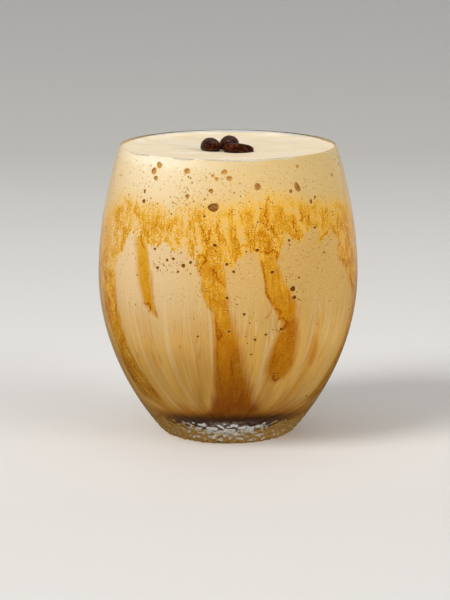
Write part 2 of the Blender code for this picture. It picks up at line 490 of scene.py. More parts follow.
    def build(self, material: Material) -> Object:
        """Makes the glass as one closed skin.

        Args:
            material: its finish.

        Returns:
            The piece, in place.
        """
        angle = column_angles(self.columns)
        outside = respaced(self.outside(), self.spacing)
        inside = respaced(self.inside(), self.spacing)
        outer = np.vstack((self.underside(), outside, self.lip(outside[-1], inside[-1])))
        low = int(np.argmax(outer[:, 1] > self.crinkle_top))
        outer = np.vstack((respaced(outer[:low + 1], self.foot_spacing), outer[low + 1:]))
        skin = turned(outer, self.columns, self.crinkled(outer, angle))
        hollow = turned(inside, self.columns, self.ridges(inside, angle))
        points, faces = closed_skin(np.vstack((skin, hollow[::-1])))
        piece = new_piece("glass_tumbler", points, faces, [material])
        place(piece, Slot.GLASS, "glass")
        return piece

    def crinkled(self, line: Array, angle: Array) -> Array:
        """How deep the foot's skin is dented: chilled glass keeps an uneven skin from its mould.

        Args:
            line: rows of radius and height up the outside.
            angle: the angle from +X of each column.

        Returns:
            The depth by row and column. The ring that it stands on stays true.
        """
        fade = smooth_step(line[:, 1], self.crinkle_top, self.crinkle_top / 2)
        fade[line[:, 1] < self.flat_to] = 0
        dents = np.zeros((len(line), len(angle)))
        for row in np.flatnonzero(fade):
            radius, height = line[row]
            upright = height / self.crinkle_stretch
            spots = (Vector((radius * math.cos(turn), radius * math.sin(turn), upright)) for turn in angle)
            spots = (spot / self.crinkle_size for spot in spots)
            uneven = np.array([lumps(spot, spot * self.crinkle_detail) for spot in spots])
            dents[row] = fade[row] * self.crinkle * (self.crinkle_mean + self.crinkle_gain * uneven)
        return np.clip(dents, 0, None)


@dataclass(frozen=True)
class Unevenness:
    """Smooth unevenness on the drink's wall, which closes on itself round the glass.

    Its rows reach a little over the height, so that the highest place still has a row above it.
    """

    seed: int
    across: float
    along: float
    girth: float = 264.0
    height: float = 110.0
    headroom: float = 2.001

    def at(self, azimuth: Array, height: Array) -> Array:
        """The unevenness at each place, from -1 to 1.

        Args:
            azimuth: in degrees.
            height: in millimetres.

        Returns:
            One value for each place.
        """
        columns = max(3, round(self.girth / self.across))
        rows = round(self.height / self.along) + 3
        values = np.random.default_rng(self.seed).uniform(-1, 1, (rows, columns))
        u = np.mod(azimuth / 360, 1) * columns
        v = np.clip(height / self.along, 0, rows - self.headroom)
        left, low = np.floor(u).astype(int), np.floor(v).astype(int)
        s, t = smooth_step(u - left, 0, 1), smooth_step(v - low, 0, 1)
        right = (left + 1) % columns
        left %= columns
        lower = values[low, left] * (1 - s) + values[low, right] * s
        upper = values[low + 1, left] * (1 - s) + values[low + 1, right] * s
        return lower * (1 - t) + upper * t


def rounded(corners: Sequence[Pair], times: int = 2, cut: float = 0.25) -> Array:
    """Cuts the corners of a closed outline until it looks round.

    Args:
        corners: the outline's corners in order.
        times: how often its corners are cut.
        cut: how far along each side they are cut, as a share of it.

    Returns:
        The corners of the rounder outline.
    """
    outline = np.array(corners)
    for _ in range(times):
        after = np.roll(outline, -1, axis=0)
        cuts = [outline * (1 - share) + after * share for share in (cut, 1 - cut)]
        outline = np.stack(cuts, axis=1).reshape(-1, 2)
    return outline


def wrapped(azimuth: Array) -> Array:
    """The same azimuths in degrees, from -180 to 180."""
    return np.mod(azimuth + 180, 360) - 180


def unrolled(azimuth: Array, middle: float, radius: Array | float) -> Array:
    """How far round the wall each place is from a middle azimuth, in the unit of the radius."""
    return np.radians(wrapped(azimuth - middle)) * radius


def bell(value: Array, middle: Array | float, spread: float) -> Array:
    """1 at the middle, and falling smoothly to nothing on both sides of it."""
    return np.exp(-(((value - middle) / spread) ** 2))


def from_stretch(x: Array, z: Array, start: Pair, end: Pair) -> Array:
    """How far each place is from a straight stretch.

    Args:
        x: how far across each place is.
        z: how far up it is.
        start: the stretch's first point.
        end: its last point.

    Returns:
        One distance for each place.
    """
    run_x, run_z = end[0] - start[0], end[1] - start[1]
    square = max(run_x * run_x + run_z * run_z, TINY)
    share = np.clip(((x - start[0]) * run_x + (z - start[1]) * run_z) / square, 0, 1)
    return np.hypot(x - start[0] - share * run_x, z - start[1] - share * run_z)


@dataclass(frozen=True)
class Run:
    """A run or a stain of caramel on the wall: its outline, and how deep the caramel is in it.

    Fray is how ragged its edge is. A side's softness is how many millimetres its edge takes to fade,
    set against 1 for a crisp one, and goes over evenly from the left side to the right.
    """

    outline: Line
    depth_above: float
    depth_below: float
    fray: float = 0.35
    soft_left: float = 1.0
    soft_right: float = 1.0
    margin: float = 6.0

    def measure(self, azimuth: Array, height: Array, radius: RadiusAt) -> Array:
        """How far inside the outline each place is.

        Args:
            azimuth: in degrees.
            height: in millimetres.
            radius: gives the drink's radius in millimetres at a height.

        Returns:
            Millimetres from the edge, above 0 inside.
        """
        corners = rounded(self.outline)
        middle = (corners[:, 0].min() + corners[:, 0].max()) / 2
        x = unrolled(azimuth, middle, radius(height))
        corner_x = np.radians(corners[:, 0] - middle) * radius(corners[:, 1])
        corner_z = corners[:, 1]
        near = (x > corner_x.min() - self.margin) & (x < corner_x.max() + self.margin)
        near &= (height > corner_z.min() - self.margin) & (height < corner_z.max() + self.margin)
        far = np.full(azimuth.shape, -self.margin)
        far[near] = self.from_edge(x[near], height[near], np.column_stack((corner_x, corner_z)))
        return far

    def from_edge(self, x: Array, z: Array, corners: Array) -> Array:
        """How far inside the unrolled outline each place near it is.

        Args:
            x: millimetres round the wall.
            z: millimetres up it.
            corners: the outline's corners, measured in the same way.

        Returns:
            Millimetres from the edge, above 0 inside, and fewer where that side is soft.
        """
        distance = np.full(x.shape, np.inf)
        inside = np.zeros(x.shape, dtype=bool)
        left, right = np.full(x.shape, np.inf), np.full(x.shape, -np.inf)
        for start, end in zip(np.roll(corners, 1, axis=0), corners):
            distance = np.minimum(distance, from_stretch(x, z, start, end))
            crosses = (start[1] > z) != (end[1] > z)
            if start[1] != end[1]:
                crossing = start[0] + (z - start[1]) / (end[1] - start[1]) * (end[0] - start[0])
                inside ^= crosses & (x < crossing)
                left = np.where(crosses, np.minimum(left, crossing), left)
                right = np.where(crosses, np.maximum(right, crossing), right)
        spans = right > left
        share = np.full(x.shape, 0.5)
        share[spans] = np.clip((x - left)[spans] / (right - left)[spans], 0, 1)
        softness = self.soft_left + (self.soft_right - self.soft_left) * share
        return np.clip(np.where(inside, distance, -distance) / softness, -self.margin, None)

    def depth(self, height: Array) -> Array:
        """How deep the caramel is at each height inside the run, from 0 to 1."""
        low = min(corner[1] for corner in self.outline)
        high = max(corner[1] for corner in self.outline)
        return self.depth_below + (self.depth_above - self.depth_below) * smooth_step(height, low, high)


@dataclass(frozen=True)
class HiddenRuns:
    """The rule for the runs on the hidden side. Its pairs are lowest and highest values."""

    count: int = 11
    stray: Pair = (0.3, 0.7)
    start: float = 72.0
    foot: Pair = (22.0, 52.0)
    half_width: Pair = (1.6, 4.2)
    lean: Pair = (-3.0, 3.0)
    profile: tuple[float, ...] = (1.5, 1.0, 0.8, 1.0, 0.9, 0.3)
    waver: Pair = (0.75, 1.25)
    depths: Pair = (0.4, 0.58)
    fray: Pair = (0.3, 0.7)
    softness: Pair = (1.0, 2.4)

    def drawn(self, seed: int, first: float, last: float) -> list[Run]:
        """Draws the runs.

        Args:
            seed: chooses them.
            first: the azimuth where the hidden side starts.
            last: the azimuth where it ends.

        Returns:
            The runs, in order round the glass.
        """
        draw = np.random.default_rng(seed)
        room = (last - first) / self.count
        steps = len(self.profile)
        runs = []
        for number in range(self.count):
            azimuth = first + (number + draw.uniform(*self.stray)) * room
            foot, half, lean = (draw.uniform(*span) for span in (self.foot, self.half_width, self.lean))
            heights = np.linspace(self.start, foot, steps)
            spread = half * np.array(self.profile) * draw.uniform(*self.waver, steps)
            middle = azimuth + lean * np.linspace(0, 1, steps)
            left = list(zip(middle - spread, heights))
            right = list(zip(middle + spread, heights))
            outline = tuple((float(a), float(z)) for a, z in left + right[::-1])
            fray, softness = draw.uniform(*self.fray), draw.uniform(*self.softness)
            runs.append(Run(outline, *self.depths, fray, softness, softness))
        return runs


@dataclass(frozen=True)
class Caramel:
    """The caramel against the wall: the band under the foam, and the runs that come down from it.

    A place where the band is thicker is an azimuth, how many degrees it spreads, and its gain.
    """

    band_top: Line = (
        (-95, 80), (-81, 81), (-71, 83), (-62, 87), (-53, 88.5), (-42, 86), (-31, 85), (-20, 86.5),
        (-8, 88), (4, 87), (10, 89), (20, 89.5), (31, 88), (45, 86.5), (60, 86), (75, 83), (95, 83),
    )
    band_foot: Line = (
        (-95, 58), (-80, 52), (-73, 53), (-65, 57.5), (-58, 63), (-55, 67), (-51.5, 71), (-48, 75),
        (-44, 72), (-41, 70.5), (-35, 69.5), (-30.5, 71.5), (-25, 69.3), (-17, 68), (-13, 65),
        (-6, 64), (2, 64.5), (5, 66.5), (9.7, 70.2), (13, 68), (17, 64.2), (22, 66), (26, 73),
        (28, 74), (30, 71.5), (32.5, 72.5), (34, 70.5), (36.5, 73), (40.5, 75.7), (44.5, 76),
        (46, 71), (48.6, 71.8), (53.7, 74.5), (59, 70), (66, 62), (76, 58), (95, 60),
    )
    runs: tuple[Run, ...] = (
        Run(
            (
                (-47, 77), (-41, 77), (-38.4, 70), (-37.6, 67.5), (-36.2, 61.7), (-35, 55.5), (-34.2, 51.8),
                (-33, 49), (-32.7, 46), (-36, 47.8), (-38.5, 49.5), (-40.6, 51.2), (-42, 55),
                (-44.8, 61), (-46, 68),
            ),
            0.32, 0.54, fray=0.14, soft_left=2.6, soft_right=0.8,
        ),
        Run(
            (
                (-14, 68), (0, 68), (0, 57), (0.5, 52), (0, 46.7), (-4.9, 46.6), (-8, 50),
                (-11, 53.2), (-12.3, 57.1), (-13.5, 63),
            ),
            0.46, 0.54, fray=0.45, soft_left=1.0, soft_right=1.2,
        ),
        Run(
            (
                (-8, 50), (2, 50), (4.6, 44), (7.4, 38.7), (9.6, 33.4), (11, 29.8), (-8.2, 29.8),
                (-7.6, 33.4), (-6.6, 40.4), (-7.4, 47),
            ),
            0.52, 0.68, fray=0.2, soft_left=1.4, soft_right=4.2,
        ),
        Run(
            (
                (-7.6, 34), (8.6, 34), (10.8, 29.8), (15, 25.5), (18.6, 21.8), (23.6, 18.2),
                (31, 15.4), (46, 12.4), (-40, 12.2), (-21, 14.9), (-14.6, 17.3), (-11, 20.8),
                (-9.2, 26.2),
            ),
            0.68, 0.86, fray=0.15, soft_left=2.0, soft_right=4.4,
        ),
        Run(
            (
                (13.7, 69), (21, 69), (23.6, 63.3), (26, 60), (29.6, 55.4), (32.2, 52.3),
                (33.4, 46), (27, 44), (23, 46.5), (20.5, 50.8), (17.6, 54.6), (15.8, 59.6),
                (14.1, 64.3),
            ),
            0.41, 0.56, fray=0.25, soft_left=0.7, soft_right=2.6,
        ),
        Run(
            (
                (24.5, 48), (33.4, 49), (34.6, 43), (35.4, 37), (36.4, 31), (35.2, 27), (31, 24.4),
                (25, 24.4), (19.5, 27.5), (18.4, 32), (20.3, 38), (23.6, 42.5),
            ),
            0.74, 0.62, fray=0.2, soft_left=2.4, soft_right=2.8,
        ),
        Run(
            (
                (-76, 60), (-59, 62), (-59.5, 53), (-58.8, 46), (-57.7, 39.4), (-56.5, 32.4),
                (-54.5, 26), (-54, 21), (-58, 16.5), (-84, 16.5), (-80.9, 20.7), (-76.6, 24.3),
                (-71, 30.8), (-70.5, 37.8), (-74.6, 44), (-75.5, 51),
            ),
            0.42, 0.54, fray=0.85, soft_left=1.6, soft_right=1.6,
        ),
        Run(
            (
                (59, 71), (72, 70), (82, 66), (90, 58), (90, 50), (86, 46), (74, 49), (68.3, 55.2),
                (64, 60), (59.5, 62.7), (57.6, 67),
            ),
            0.4, 0.46, fray=0.8, soft_left=1.2, soft_right=1.2,
        ),
        Run(
            (
                (74, 53), (92, 55), (96, 40), (98, 28), (95, 17), (76, 16), (73, 20),
                (72, 24), (72.5, 29), (73, 34), (73, 42),
            ),
            0.5, 0.6, fray=0.8, soft_left=2.4, soft_right=1.5,
        ),
    )
    stains: tuple[Run, ...] = (
        Run(
            ((44.4, 41.6), (48.6, 36), (50, 32.1), (49.6, 28), (44.5, 30.6), (43, 35.4)),
            0.85, 0.85, soft_left=1.3, soft_right=1.3,
        ),
        Run(
            (
                (-45, 50), (-36, 50), (-35, 36), (-41, 25), (-56, 17), (-78, 15), (-66, 20), (-55, 26),
                (-46, 37),
            ),
            0.2, 0.15, soft_left=3.0, soft_right=3.0,
        ),
        Run(
            ((-26, 46), (-20, 46), (-20, 33), (-24, 22), (-36, 14), (-48, 14), (-35, 22), (-27, 33)),
            0.2, 0.35, soft_left=3.0, soft_right=3.0,
        ),
        Run(
            ((-17, 48), (-9, 48), (-9, 37), (-11, 26), (-20, 14), (-32, 14), (-18, 26), (-16, 37)),
            0.2, 0.75, soft_left=3.0, soft_right=2.4,
        ),
        Run(
            ((15, 42), (22, 40), (26, 26), (38, 14), (26, 14), (17, 26)),
            0.3, 0.75, soft_left=3.0, soft_right=3.0,
        ),
        Run(
            ((30, 32), (35, 32), (42, 23), (60, 14), (46, 14), (33, 24)),
            0.25, 0.7, soft_left=3.0, soft_right=3.0,
        ),
        Run(
            ((39, 44), (45, 46), (49, 31), (56, 19), (66, 15), (50, 17), (42, 28)),
            0.3, 0.6, soft_left=3.0, soft_right=3.0,
        ),
    )
    channels: tuple[Line, ...] = (
        ((-20.5, 82), (-19.5, 78), (-19.8, 74), (-20.6, 70)),
        ((-24.8, 77), (-25.4, 74), (-25, 71)),
        ((-14.6, 78), (-13.8, 74), (-13.5, 69.5)),
        ((3.2, 84), (4.5, 79), (6.5, 74), (7.5, 69), (8.5, 65)),
        ((-1, 80), (-0.5, 75), (0.8, 70), (3, 62), (4, 56)),
        ((33.5, 81), (35, 77), (36.5, 74.5)),
        ((14.5, 84), (13.5, 80), (13.2, 76)),
    )
    threads: tuple[Line, ...] = (
        ((-14.2, 65.8), (-14, 67.9), (-12.5, 68.8), (-10.7, 68.3), (-10.2, 67), (-11.1, 65.7)),
        ((16.8, 47), (17.8, 47.8), (18.7, 49.3), (20, 50.3), (21.9, 50.7), (23.9, 49.7), (23.9, 48.3)),
        (
            (23, 43.3), (22.3, 45), (23.1, 46.7), (25, 47.2), (26.6, 46.1), (26.8, 44.4), (25.5, 43.1),
            (23.4, 42.6),
        ),
        ((14.6, 66.2), (15.4, 62.9), (16.3, 59.3), (17.6, 56), (19.5, 52.6), (20, 50.3)),
        (
            (6.1, 71.1), (7.7, 71.7), (10.1, 71.1), (13.1, 70), (15.2, 69), (17.6, 68.6), (19.9, 69.3),
            (21.5, 68.7), (22, 66.1),
        ),
        ((-0.9, 73.9), (0.4, 71.2), (1.6, 67.8), (2.8, 64.4)),
        ((-39.5, 51.1), (-38.4, 50.6), (-36.7, 51.1), (-36.2, 49.7), (-37.5, 48.3)),
        ((58.2, 68.9), (57.8, 66.9), (58, 64.8), (59.6, 63.1), (63.6, 62.4)),
        ((-5.4, 46.2), (-5, 42.5), (-4.2, 40.8), (-3.2, 42), (-3.6, 43.6)),
        ((-36, 62), (-35, 56.5), (-34.2, 52), (-33, 49), (-32.9, 46.6)),
        ((29.4, 25.8), (27.5, 25), (25.6, 25.6), (25, 27.2)),
        ((30.8, 78.7), (31.3, 76.1), (32.7, 75), (35, 74.9)),
        ((35.7, 81.4), (36.8, 79.5), (35.2, 78.4)),
        ((45.1, 70.9), (46.7, 72.1), (49, 72.9), (53.6, 74.6)),
        ((68.7, 61.7), (69.8, 58.1), (71.5, 54.3), (76.6, 50.6)),
        ((62.8, 78.3), (61.1, 76.1), (59.9, 73.6)),
        ((20, 87.1), (18.8, 85.2), (17.9, 82.1), (18.7, 79.3), (18, 77)),
        ((67.1, 74.9), (69.7, 71), (70.5, 66.8)),
        ((39.9, 80.3), (39.9, 78.6), (39.2, 76.9)),
        ((20.3, 77.5), (20.6, 75.8), (22.5, 72.9)),
        ((-7.8, 64.3), (-5.6, 62.7), (-4.7, 60.3), (-2.5, 59.8), (-0.8, 58.5)),
        ((-15.7, 76), (-14.9, 74.1), (-14.3, 72.1)),
        ((-11.3, 76.7), (-10.4, 74.2), (-9.8, 71.6)),
        ((-8.2, 77.3), (-8.6, 74.5), (-9, 71.7)),
        ((-4.9, 78.5), (-4, 75.1), (-3.6, 71.7)),
        ((-44.9, 77.1), (-43.2, 73.8), (-42.5, 71.6), (-40.3, 69.4)),
        ((-64.7, 68.1), (-62.6, 65.4), (-61.3, 61.5)),
    )
    thread_reach: float = 3.0
    shown_to: float = 95.0
    hidden_band_top: float = 83.0
    hidden_band_foot: float = 68.0
    hidden_step: float = 8.0
    hidden_sway: float = 4.0
    hidden_sway_size: Pair = (14.0, 50.0)
    hidden_runs: HiddenRuns = HiddenRuns()
    seed: int = 7
    top_softness: float = 8.0
    tongue_reach: float = 1.6
    tongue_size: Pair = (1.5, 16.0)
    warp: float = 0.4
    small_warp_size: Pair = (1.7, 5.0)
    large_warp_size: Pair = (6.0, 9.0)
    upright_warp_size: Pair = (5.0, 4.0)
    upright_warp: float = 1.4
    band_depth: float = 0.14
    band_deepens: float = 0.19
    deepens_over: Pair = (0.0, 10.0)
    band_thicker: tuple[Spot, ...] = ((25.0, 24.0, 0.07), (-52.0, 24.0, -0.06))
    band_fray: float = 0.5
    band_frays: float = 0.35
    frays_over: Pair = (4.0, 12.0)
    band_tear: float = 0.03
    band_tears: float = 0.72
    tears_over: Pair = (5.0, 12.0)
    run_edge: Pair = (-0.6, 0.9)
    stain_edge: Pair = (-0.7, 0.8)
    # Painted light: where the froth and the milk are drawn whiter, on the left where the key lamp shines.
    painted_light_azimuth: float = -42.0
    painted_light_spread: float = 34.0

    def line(self, knots: Sequence[Pair], hidden: float, seed: int) -> Callable:
        """A height that follows its knots on the shown side and wanders round the hidden one.

        Args:
            knots: azimuths and heights on the shown side.
            hidden: the middle height on the hidden side.
            seed: chooses how it wanders there.

        Returns:
            A function of azimuth.
        """
        azimuths = np.arange(self.shown_to + self.hidden_step, 360 - self.shown_to, self.hidden_step)
        sway = Unevenness(seed, *self.hidden_sway_size).at(azimuths, np.zeros(azimuths.shape))
        places = np.concatenate(([knot[0] for knot in knots], azimuths))
        heights = np.concatenate(([knot[1] for knot in knots], hidden + self.hidden_sway * sway))
        return lambda azimuth: np.interp(azimuth, places, heights, period=360)

    def fields(self, azimuth: Array, height: Array, radius: RadiusAt) -> dict[str, Array]:
        """What the drink's finish has to know at each place on the wall.

        Args:
            azimuth: in degrees.
            height: in millimetres.
            radius: gives the drink's radius in millimetres at a height.

        Returns:
            How far inside the caramel's edge it is, the caramel's depth, how mottled it is and how torn
            its edge is, whether it lies in a run, how far caramel has stained the milk beside it, all
            five from 0 to 1, the millimetres to the next thread of darker caramel and to the next channel
            of bare milk, and how much of the painted light on the left, where the key lamp shines, lies
            there.
        """
        small, large, upright = (
            Unevenness(self.seed + number, *size).at(azimuth, height)
            for number, size in enumerate(
                (self.small_warp_size, self.large_warp_size, self.upright_warp_size), start=1
            )
        )
        moved = azimuth + np.degrees(self.warp * (small + large) / radius(height))
        lifted = height + self.warp * self.upright_warp * upright
        tongues = Unevenness(self.seed + 6, *self.tongue_size).at(azimuth, height)
        fields = self.band(wrapped(azimuth), moved, lifted, tongues)
        hidden = self.hidden_runs.drawn(self.seed, self.shown_to, 360 - self.shown_to)
        for run in (*self.runs, *hidden):
            self.lay(run, fields, run.measure(moved, lifted, radius), lifted)
        bare = np.ones(azimuth.shape)
        for stain in self.stains:
            share = smooth_step(stain.measure(moved, lifted, radius), *self.stain_edge)
            bare *= 1 - stain.depth(lifted) * share
        fields["stain"] = 1 - bare
        for label, paths in (("thread", self.threads), ("channel", self.channels)):
            near = [self.beside(path, moved, lifted, radius) for path in paths]
            fields[label] = np.minimum.reduce(near)
        # Painted light: a bell of white on the left, where the key lamp shines.
        fields["lather"] = bell(wrapped(azimuth), self.painted_light_azimuth, self.painted_light_spread)
        return fields

    def band(self, turn: Array, moved: Array, lifted: Array, tongues: Array) -> dict[str, Array]:
        """The band of caramel under the foam, before any run is laid over it.

        Args:
            turn: the azimuth of each place in degrees, from -180 to 180.
            moved: the azimuth that the lines of the band are read at.
            lifted: the height that they are set against, in millimetres.
            tongues: the unevenness of the band's foot, from -1 to 1.

        Returns:
            How far inside the edge each place is, and the caramel's depth, fray and tear, and no run.
        """
        top = self.line(self.band_top, self.hidden_band_top, self.seed + 4)(moved)
        foot = self.line(self.band_foot, self.hidden_band_foot, self.seed + 5)(moved)
        below = top - lifted
        thicker = sum(gain * bell(turn, middle, spread) for middle, spread, gain in self.band_thicker)
        return {
            "edge": np.minimum(below / self.top_softness, lifted - foot + self.tongue_reach * tongues),
            "depth": self.band_depth + self.band_deepens * smooth_step(below, *self.deepens_over) + thicker,
            "fray": self.band_fray + self.band_frays * smooth_step(below, *self.frays_over),
            "tear": self.band_tear + self.band_tears * smooth_step(below, *self.tears_over),
            "run": np.zeros(turn.shape),
        }

    def lay(self, run: Run, fields: dict[str, Array], inside: Array, lifted: Array) -> None:
        """Lays a run over the caramel that is there already.

        Args:
            run: the run.
            fields: what is there, which it changes.
            inside: how far inside the run each place is, in millimetres.
            lifted: the height of each place in millimetres.
        """
        share = smooth_step(inside - fields["edge"], *self.run_edge)
        tear = run.fray / (run.soft_left + run.soft_right) * 2
        goals = {"run": 1.0, "depth": run.depth(lifted), "fray": run.fray, "tear": tear}
        for label, goal in goals.items():
            fields[label] = fields[label] + (goal - fields[label]) * share
        fields["edge"] = np.maximum(fields["edge"], inside)

    def beside(self, path: Sequence[Pair], azimuth: Array, height: Array, radius: RadiusAt) -> Array:
        """How far each place is from a thin line on the wall, a thread or a channel.

        Args:
            path: azimuths and heights along the line.
            azimuth: in degrees.
            height: in millimetres.
            radius: gives the drink's radius in millimetres at a height.

        Returns:
            Millimetres, up to the thread's reach.
        """
        start = path[0][0]
        girth = float(radius(np.array(path[0][1])))
        x = unrolled(azimuth, start, girth)
        flat = [(math.radians(turn - start) * girth, level) for turn, level in path]
        distance = np.full(azimuth.shape, self.thread_reach)
        for here, there in zip(flat, flat[1:]):
            distance = np.minimum(distance, from_stretch(x, height, here, there))
        return distance


@dataclass(frozen=True)
class PressedGlass:
    """Soda-lime glass, pressed in a mould and fire polished: clear, and only just grey-green."""

    tint: str = "#fafcfb"
    mirror_tint: str = "#8f8a82"
    shade_tint: str = "#f2f3f1"
    ior: float = 1.52
    roughness: float = 0.0

    def material(self) -> Material:
        """The finish. Lamps reach what is behind the glass, as they do through a thin clear wall."""
        material, tree = new_material("pressed_soda_lime_glass")
        body = add(
            tree, "ShaderNodeBsdfPrincipled",
            {
                "Base Color": linear(self.tint),
                "Roughness": self.roughness,
                "IOR": self.ior,
                "Specular Tint": linear(self.mirror_tint),
                "Transmission Weight": 1.0,
            },
        )
        rays = add(tree, "ShaderNodeLightPath")
        clear = add(tree, "ShaderNodeBsdfTransparent", {"Color": linear(self.shade_tint)})
        both = add(
            tree, "ShaderNodeMixShader",
            {0: rays.outputs["Is Shadow Ray"], 1: body.outputs[0], 2: clear.outputs[0]},
        )
        add(tree, "ShaderNodeOutputMaterial", {"Surface": both.outputs[0]})
        return material


@dataclass(frozen=True)
class Pattern:
    """Noise on the wall: its size in millimetres, its share of change upwards, and its roughness.

    The lower the share of change upwards, the longer its marks are upright.
    """

    size: float
    upright: float
    detail: float
    distortion: float = 0.0

    def node(self, tree: NodeTree, ring: Node, mm: Node) -> Node:
        """Adds the noise, from -0.5 to 0.5 and running round the glass.

        Args:
            tree: the material's nodes.
            ring: the unit step out from the axis.
            mm: the place in millimetres.

        Returns:
            The node.
        """
        upright = add(tree, Kind.SCALED, (mm, (0, 0, self.upright)))
        where = add(tree, Kind.SCALED, (ring, (WALL_RADIUS,) * 3, upright), operation="MULTIPLY_ADD")
        settings = {"Scale": 1 / self.size, "Detail": self.detail, "Distortion": self.distortion}
        spread = add(tree, "ShaderNodeTexNoise", {"Vector": where, **settings})
        return add(tree, Kind.RANGE, (spread.outputs["Fac"], 0.25, 0.75, -0.5, 0.5))


@dataclass(frozen=True)
class WallPatterns:
    """The unevenness that the marbling is made from: what whipping and the caramel's fall leave."""

    fibre: Pattern = Pattern(0.72, 0.17, 2.0, 0.5)
    cloud: Pattern = Pattern(3.8, 0.75, 2.0, 0.6)
    grain: Pattern = Pattern(0.42, 0.8, 1.0)
    streak: Pattern = Pattern(4.2, 0.05, 2.5)
    strand: Pattern = Pattern(2.4, 0.055, 1.0, 0.8)
    pale_vein: Pair = (0.14, 0.12)
    vein: Pair = (0.0, 0.05)
    vein_core: float = 0.01

    def nodes(self, tree: NodeTree, mm: Node) -> dict[str, Node]:
        """Adds every pattern.

        Args:
            tree: the material's nodes.
            mm: the place in millimetres.

        Returns:
            The nodes: fine upright fibres, clouds, grain, wide upright streaks, and two kinds of thin
            upright vein that are 1 on the line and 0 beside it.
        """
        flat = add(tree, Kind.SCALED, (mm, (1, 1, 0)))
        ring = add(tree, "ShaderNodeVectorMath", (flat,), operation="NORMALIZE")
        parts = {
            label: getattr(self, label).node(tree, ring, mm)
            for label in ("fibre", "cloud", "grain", "streak", "strand")
        }
        for label, (level, width) in (("pale vein", self.pale_vein), ("vein", self.vein)):
            aside = add(tree, Kind.SIZE, (add(tree, Kind.SUM, (parts["strand"], 1.0, -level)),))
            parts[label] = add(tree, Kind.RISE, (aside, *ramp((width, self.vein_core))))
        return parts


@dataclass(frozen=True)
class CaramelFilm:
    """The film of caramel on the glass: where it covers the milk, and how deep it is.

    A pair is a smooth rise, from nothing at the first value to all at the second. Where the film is
    torn, fibre and grain move its edge. Channels and speckles bare it, and mottling, veins, threads
    and the rim of a tear deepen it.
    """

    fibre_tear: float = 2.8
    grain_tear: float = 1.2
    edge: Pair = (-0.4, 0.9)
    channel_waver: float = 0.9
    channel: Pair = (1.5, 0.2)
    channel_bares: float = 0.62
    speckle: Pair = (0.08, 0.34)
    speckle_bares: float = 0.32
    grain_mottles: float = -0.6
    cloud_mottles: float = 0.6
    fibre_mottles: float = 0.4
    even_mottling: float = 0.12
    frayed_mottling: float = 0.85
    vein_deepens: float = 0.12
    rim: Pair = (1.3, 0.4)
    rim_deepens: float = 0.12
    thread_waver: float = 0.4
    thread: Pair = (0.6, 0.1)
    thread_deepens: float = 0.3
    seeping_streak: Pair = (0.0, 0.4)
    seeps_down: Pair = (64.0, 36.0)
    seep_deepens: float = 0.12
    run_cover: Pair = (0.0, 0.26)

    def nodes(self, tree: NodeTree, parts: Parts) -> tuple[Node, Node]:
        """Adds the film.

        Args:
            tree: the material's nodes.
            parts: the wall's patterns, fields and height.

        Returns:
            How far the caramel covers the milk, and how dark its own colour is, both from 0 to 1.
        """
        grain = add(tree, Kind.TIMES, (parts["grain"], self.grain_tear))
        ragged = add(tree, Kind.SUM, (parts["fibre"], self.fibre_tear, grain))
        torn = add(tree, Kind.SUM, (ragged, parts["tear"], parts["edge"]))
        cover, deep = self.cover(tree, parts, torn), self.deep(tree, parts, torn)
        strand = add(tree, Kind.SUM, (parts["grain"], self.thread_waver, parts["thread"]))
        strand = add(tree, Kind.RISE, (strand, *ramp(self.thread)))
        streak = add(tree, Kind.RISE, (parts["streak"], *ramp(self.seeping_streak)))
        low = add(tree, Kind.RISE, (parts["height"], *ramp(self.seeps_down)))
        seeped = add(tree, Kind.TIMES, (streak, low))
        film = add(tree, Kind.SUM, (seeped, self.seep_deepens, add(tree, Kind.TIMES, (deep, cover))))
        film, cover, deep = (
            add(tree, Kind.SUM, (strand, self.thread_deepens, rest)) for rest in (film, cover, deep)
        )
        over = add(tree, Kind.RISE, (film, *ramp(self.run_cover)))
        share = add(tree, "ShaderNodeMix", {0: parts["run"], 2: over, 3: cover})
        return share, add(tree, "ShaderNodeMix", {0: parts["run"], 2: film, 3: deep})

    def cover(self, tree: NodeTree, parts: Parts, torn: Node) -> Node:
        """Adds how far the film hides the milk, with its channels and speckles bare.

        Args:
            tree: the material's nodes.
            parts: the wall's patterns, fields and height.
            torn: how far inside the torn edge each place is.

        Returns:
            The share.
        """
        cover = add(tree, Kind.RISE, (torn, *ramp(self.edge)))
        bare = parts["channel"]
        for label in ("grain", "fibre"):
            bare = add(tree, Kind.SUM, (parts[label], self.channel_waver, bare))
        bare = add(tree, Kind.RISE, (bare, *ramp(self.channel)))
        speckled = add(tree, Kind.RISE, (parts["grain"], *ramp(self.speckle)))
        speckled = add(tree, Kind.TIMES, (speckled, parts["fray"]))
        for part, bares in ((bare, self.channel_bares), (speckled, self.speckle_bares)):
            cover = add(tree, Kind.TIMES, (cover, add(tree, Kind.SUM, (part, -bares, 1.0))))
        return cover

    def deep(self, tree: NodeTree, parts: Parts, torn: Node) -> Node:
        """Adds how deep the film is: mottled, with darker veins and a darker rim round its tears.

        Args:
            tree: the material's nodes.
            parts: the wall's patterns, fields and height.
            torn: how far inside the torn edge each place is.

        Returns:
            The depth.
        """
        mottled = add(tree, Kind.TIMES, (parts["cloud"], self.cloud_mottles))
        for label, gain in (("grain", self.grain_mottles), ("fibre", self.fibre_mottles)):
            mottled = add(tree, Kind.SUM, (parts[label], gain, mottled))
        strength = add(tree, Kind.SUM, (parts["fray"], self.frayed_mottling, self.even_mottling))
        mottled = add(tree, Kind.TIMES, (mottled, strength))
        rim = add(tree, Kind.RISE, (torn, *ramp(self.rim)))
        rim = add(tree, Kind.TIMES, (rim, parts["tear"]))
        deep = parts["depth"]
        for part, gain in ((mottled, 1.0), (parts["vein"], self.vein_deepens), (rim, self.rim_deepens)):
            deep = add(tree, Kind.SUM, (part, gain, deep))
        return deep


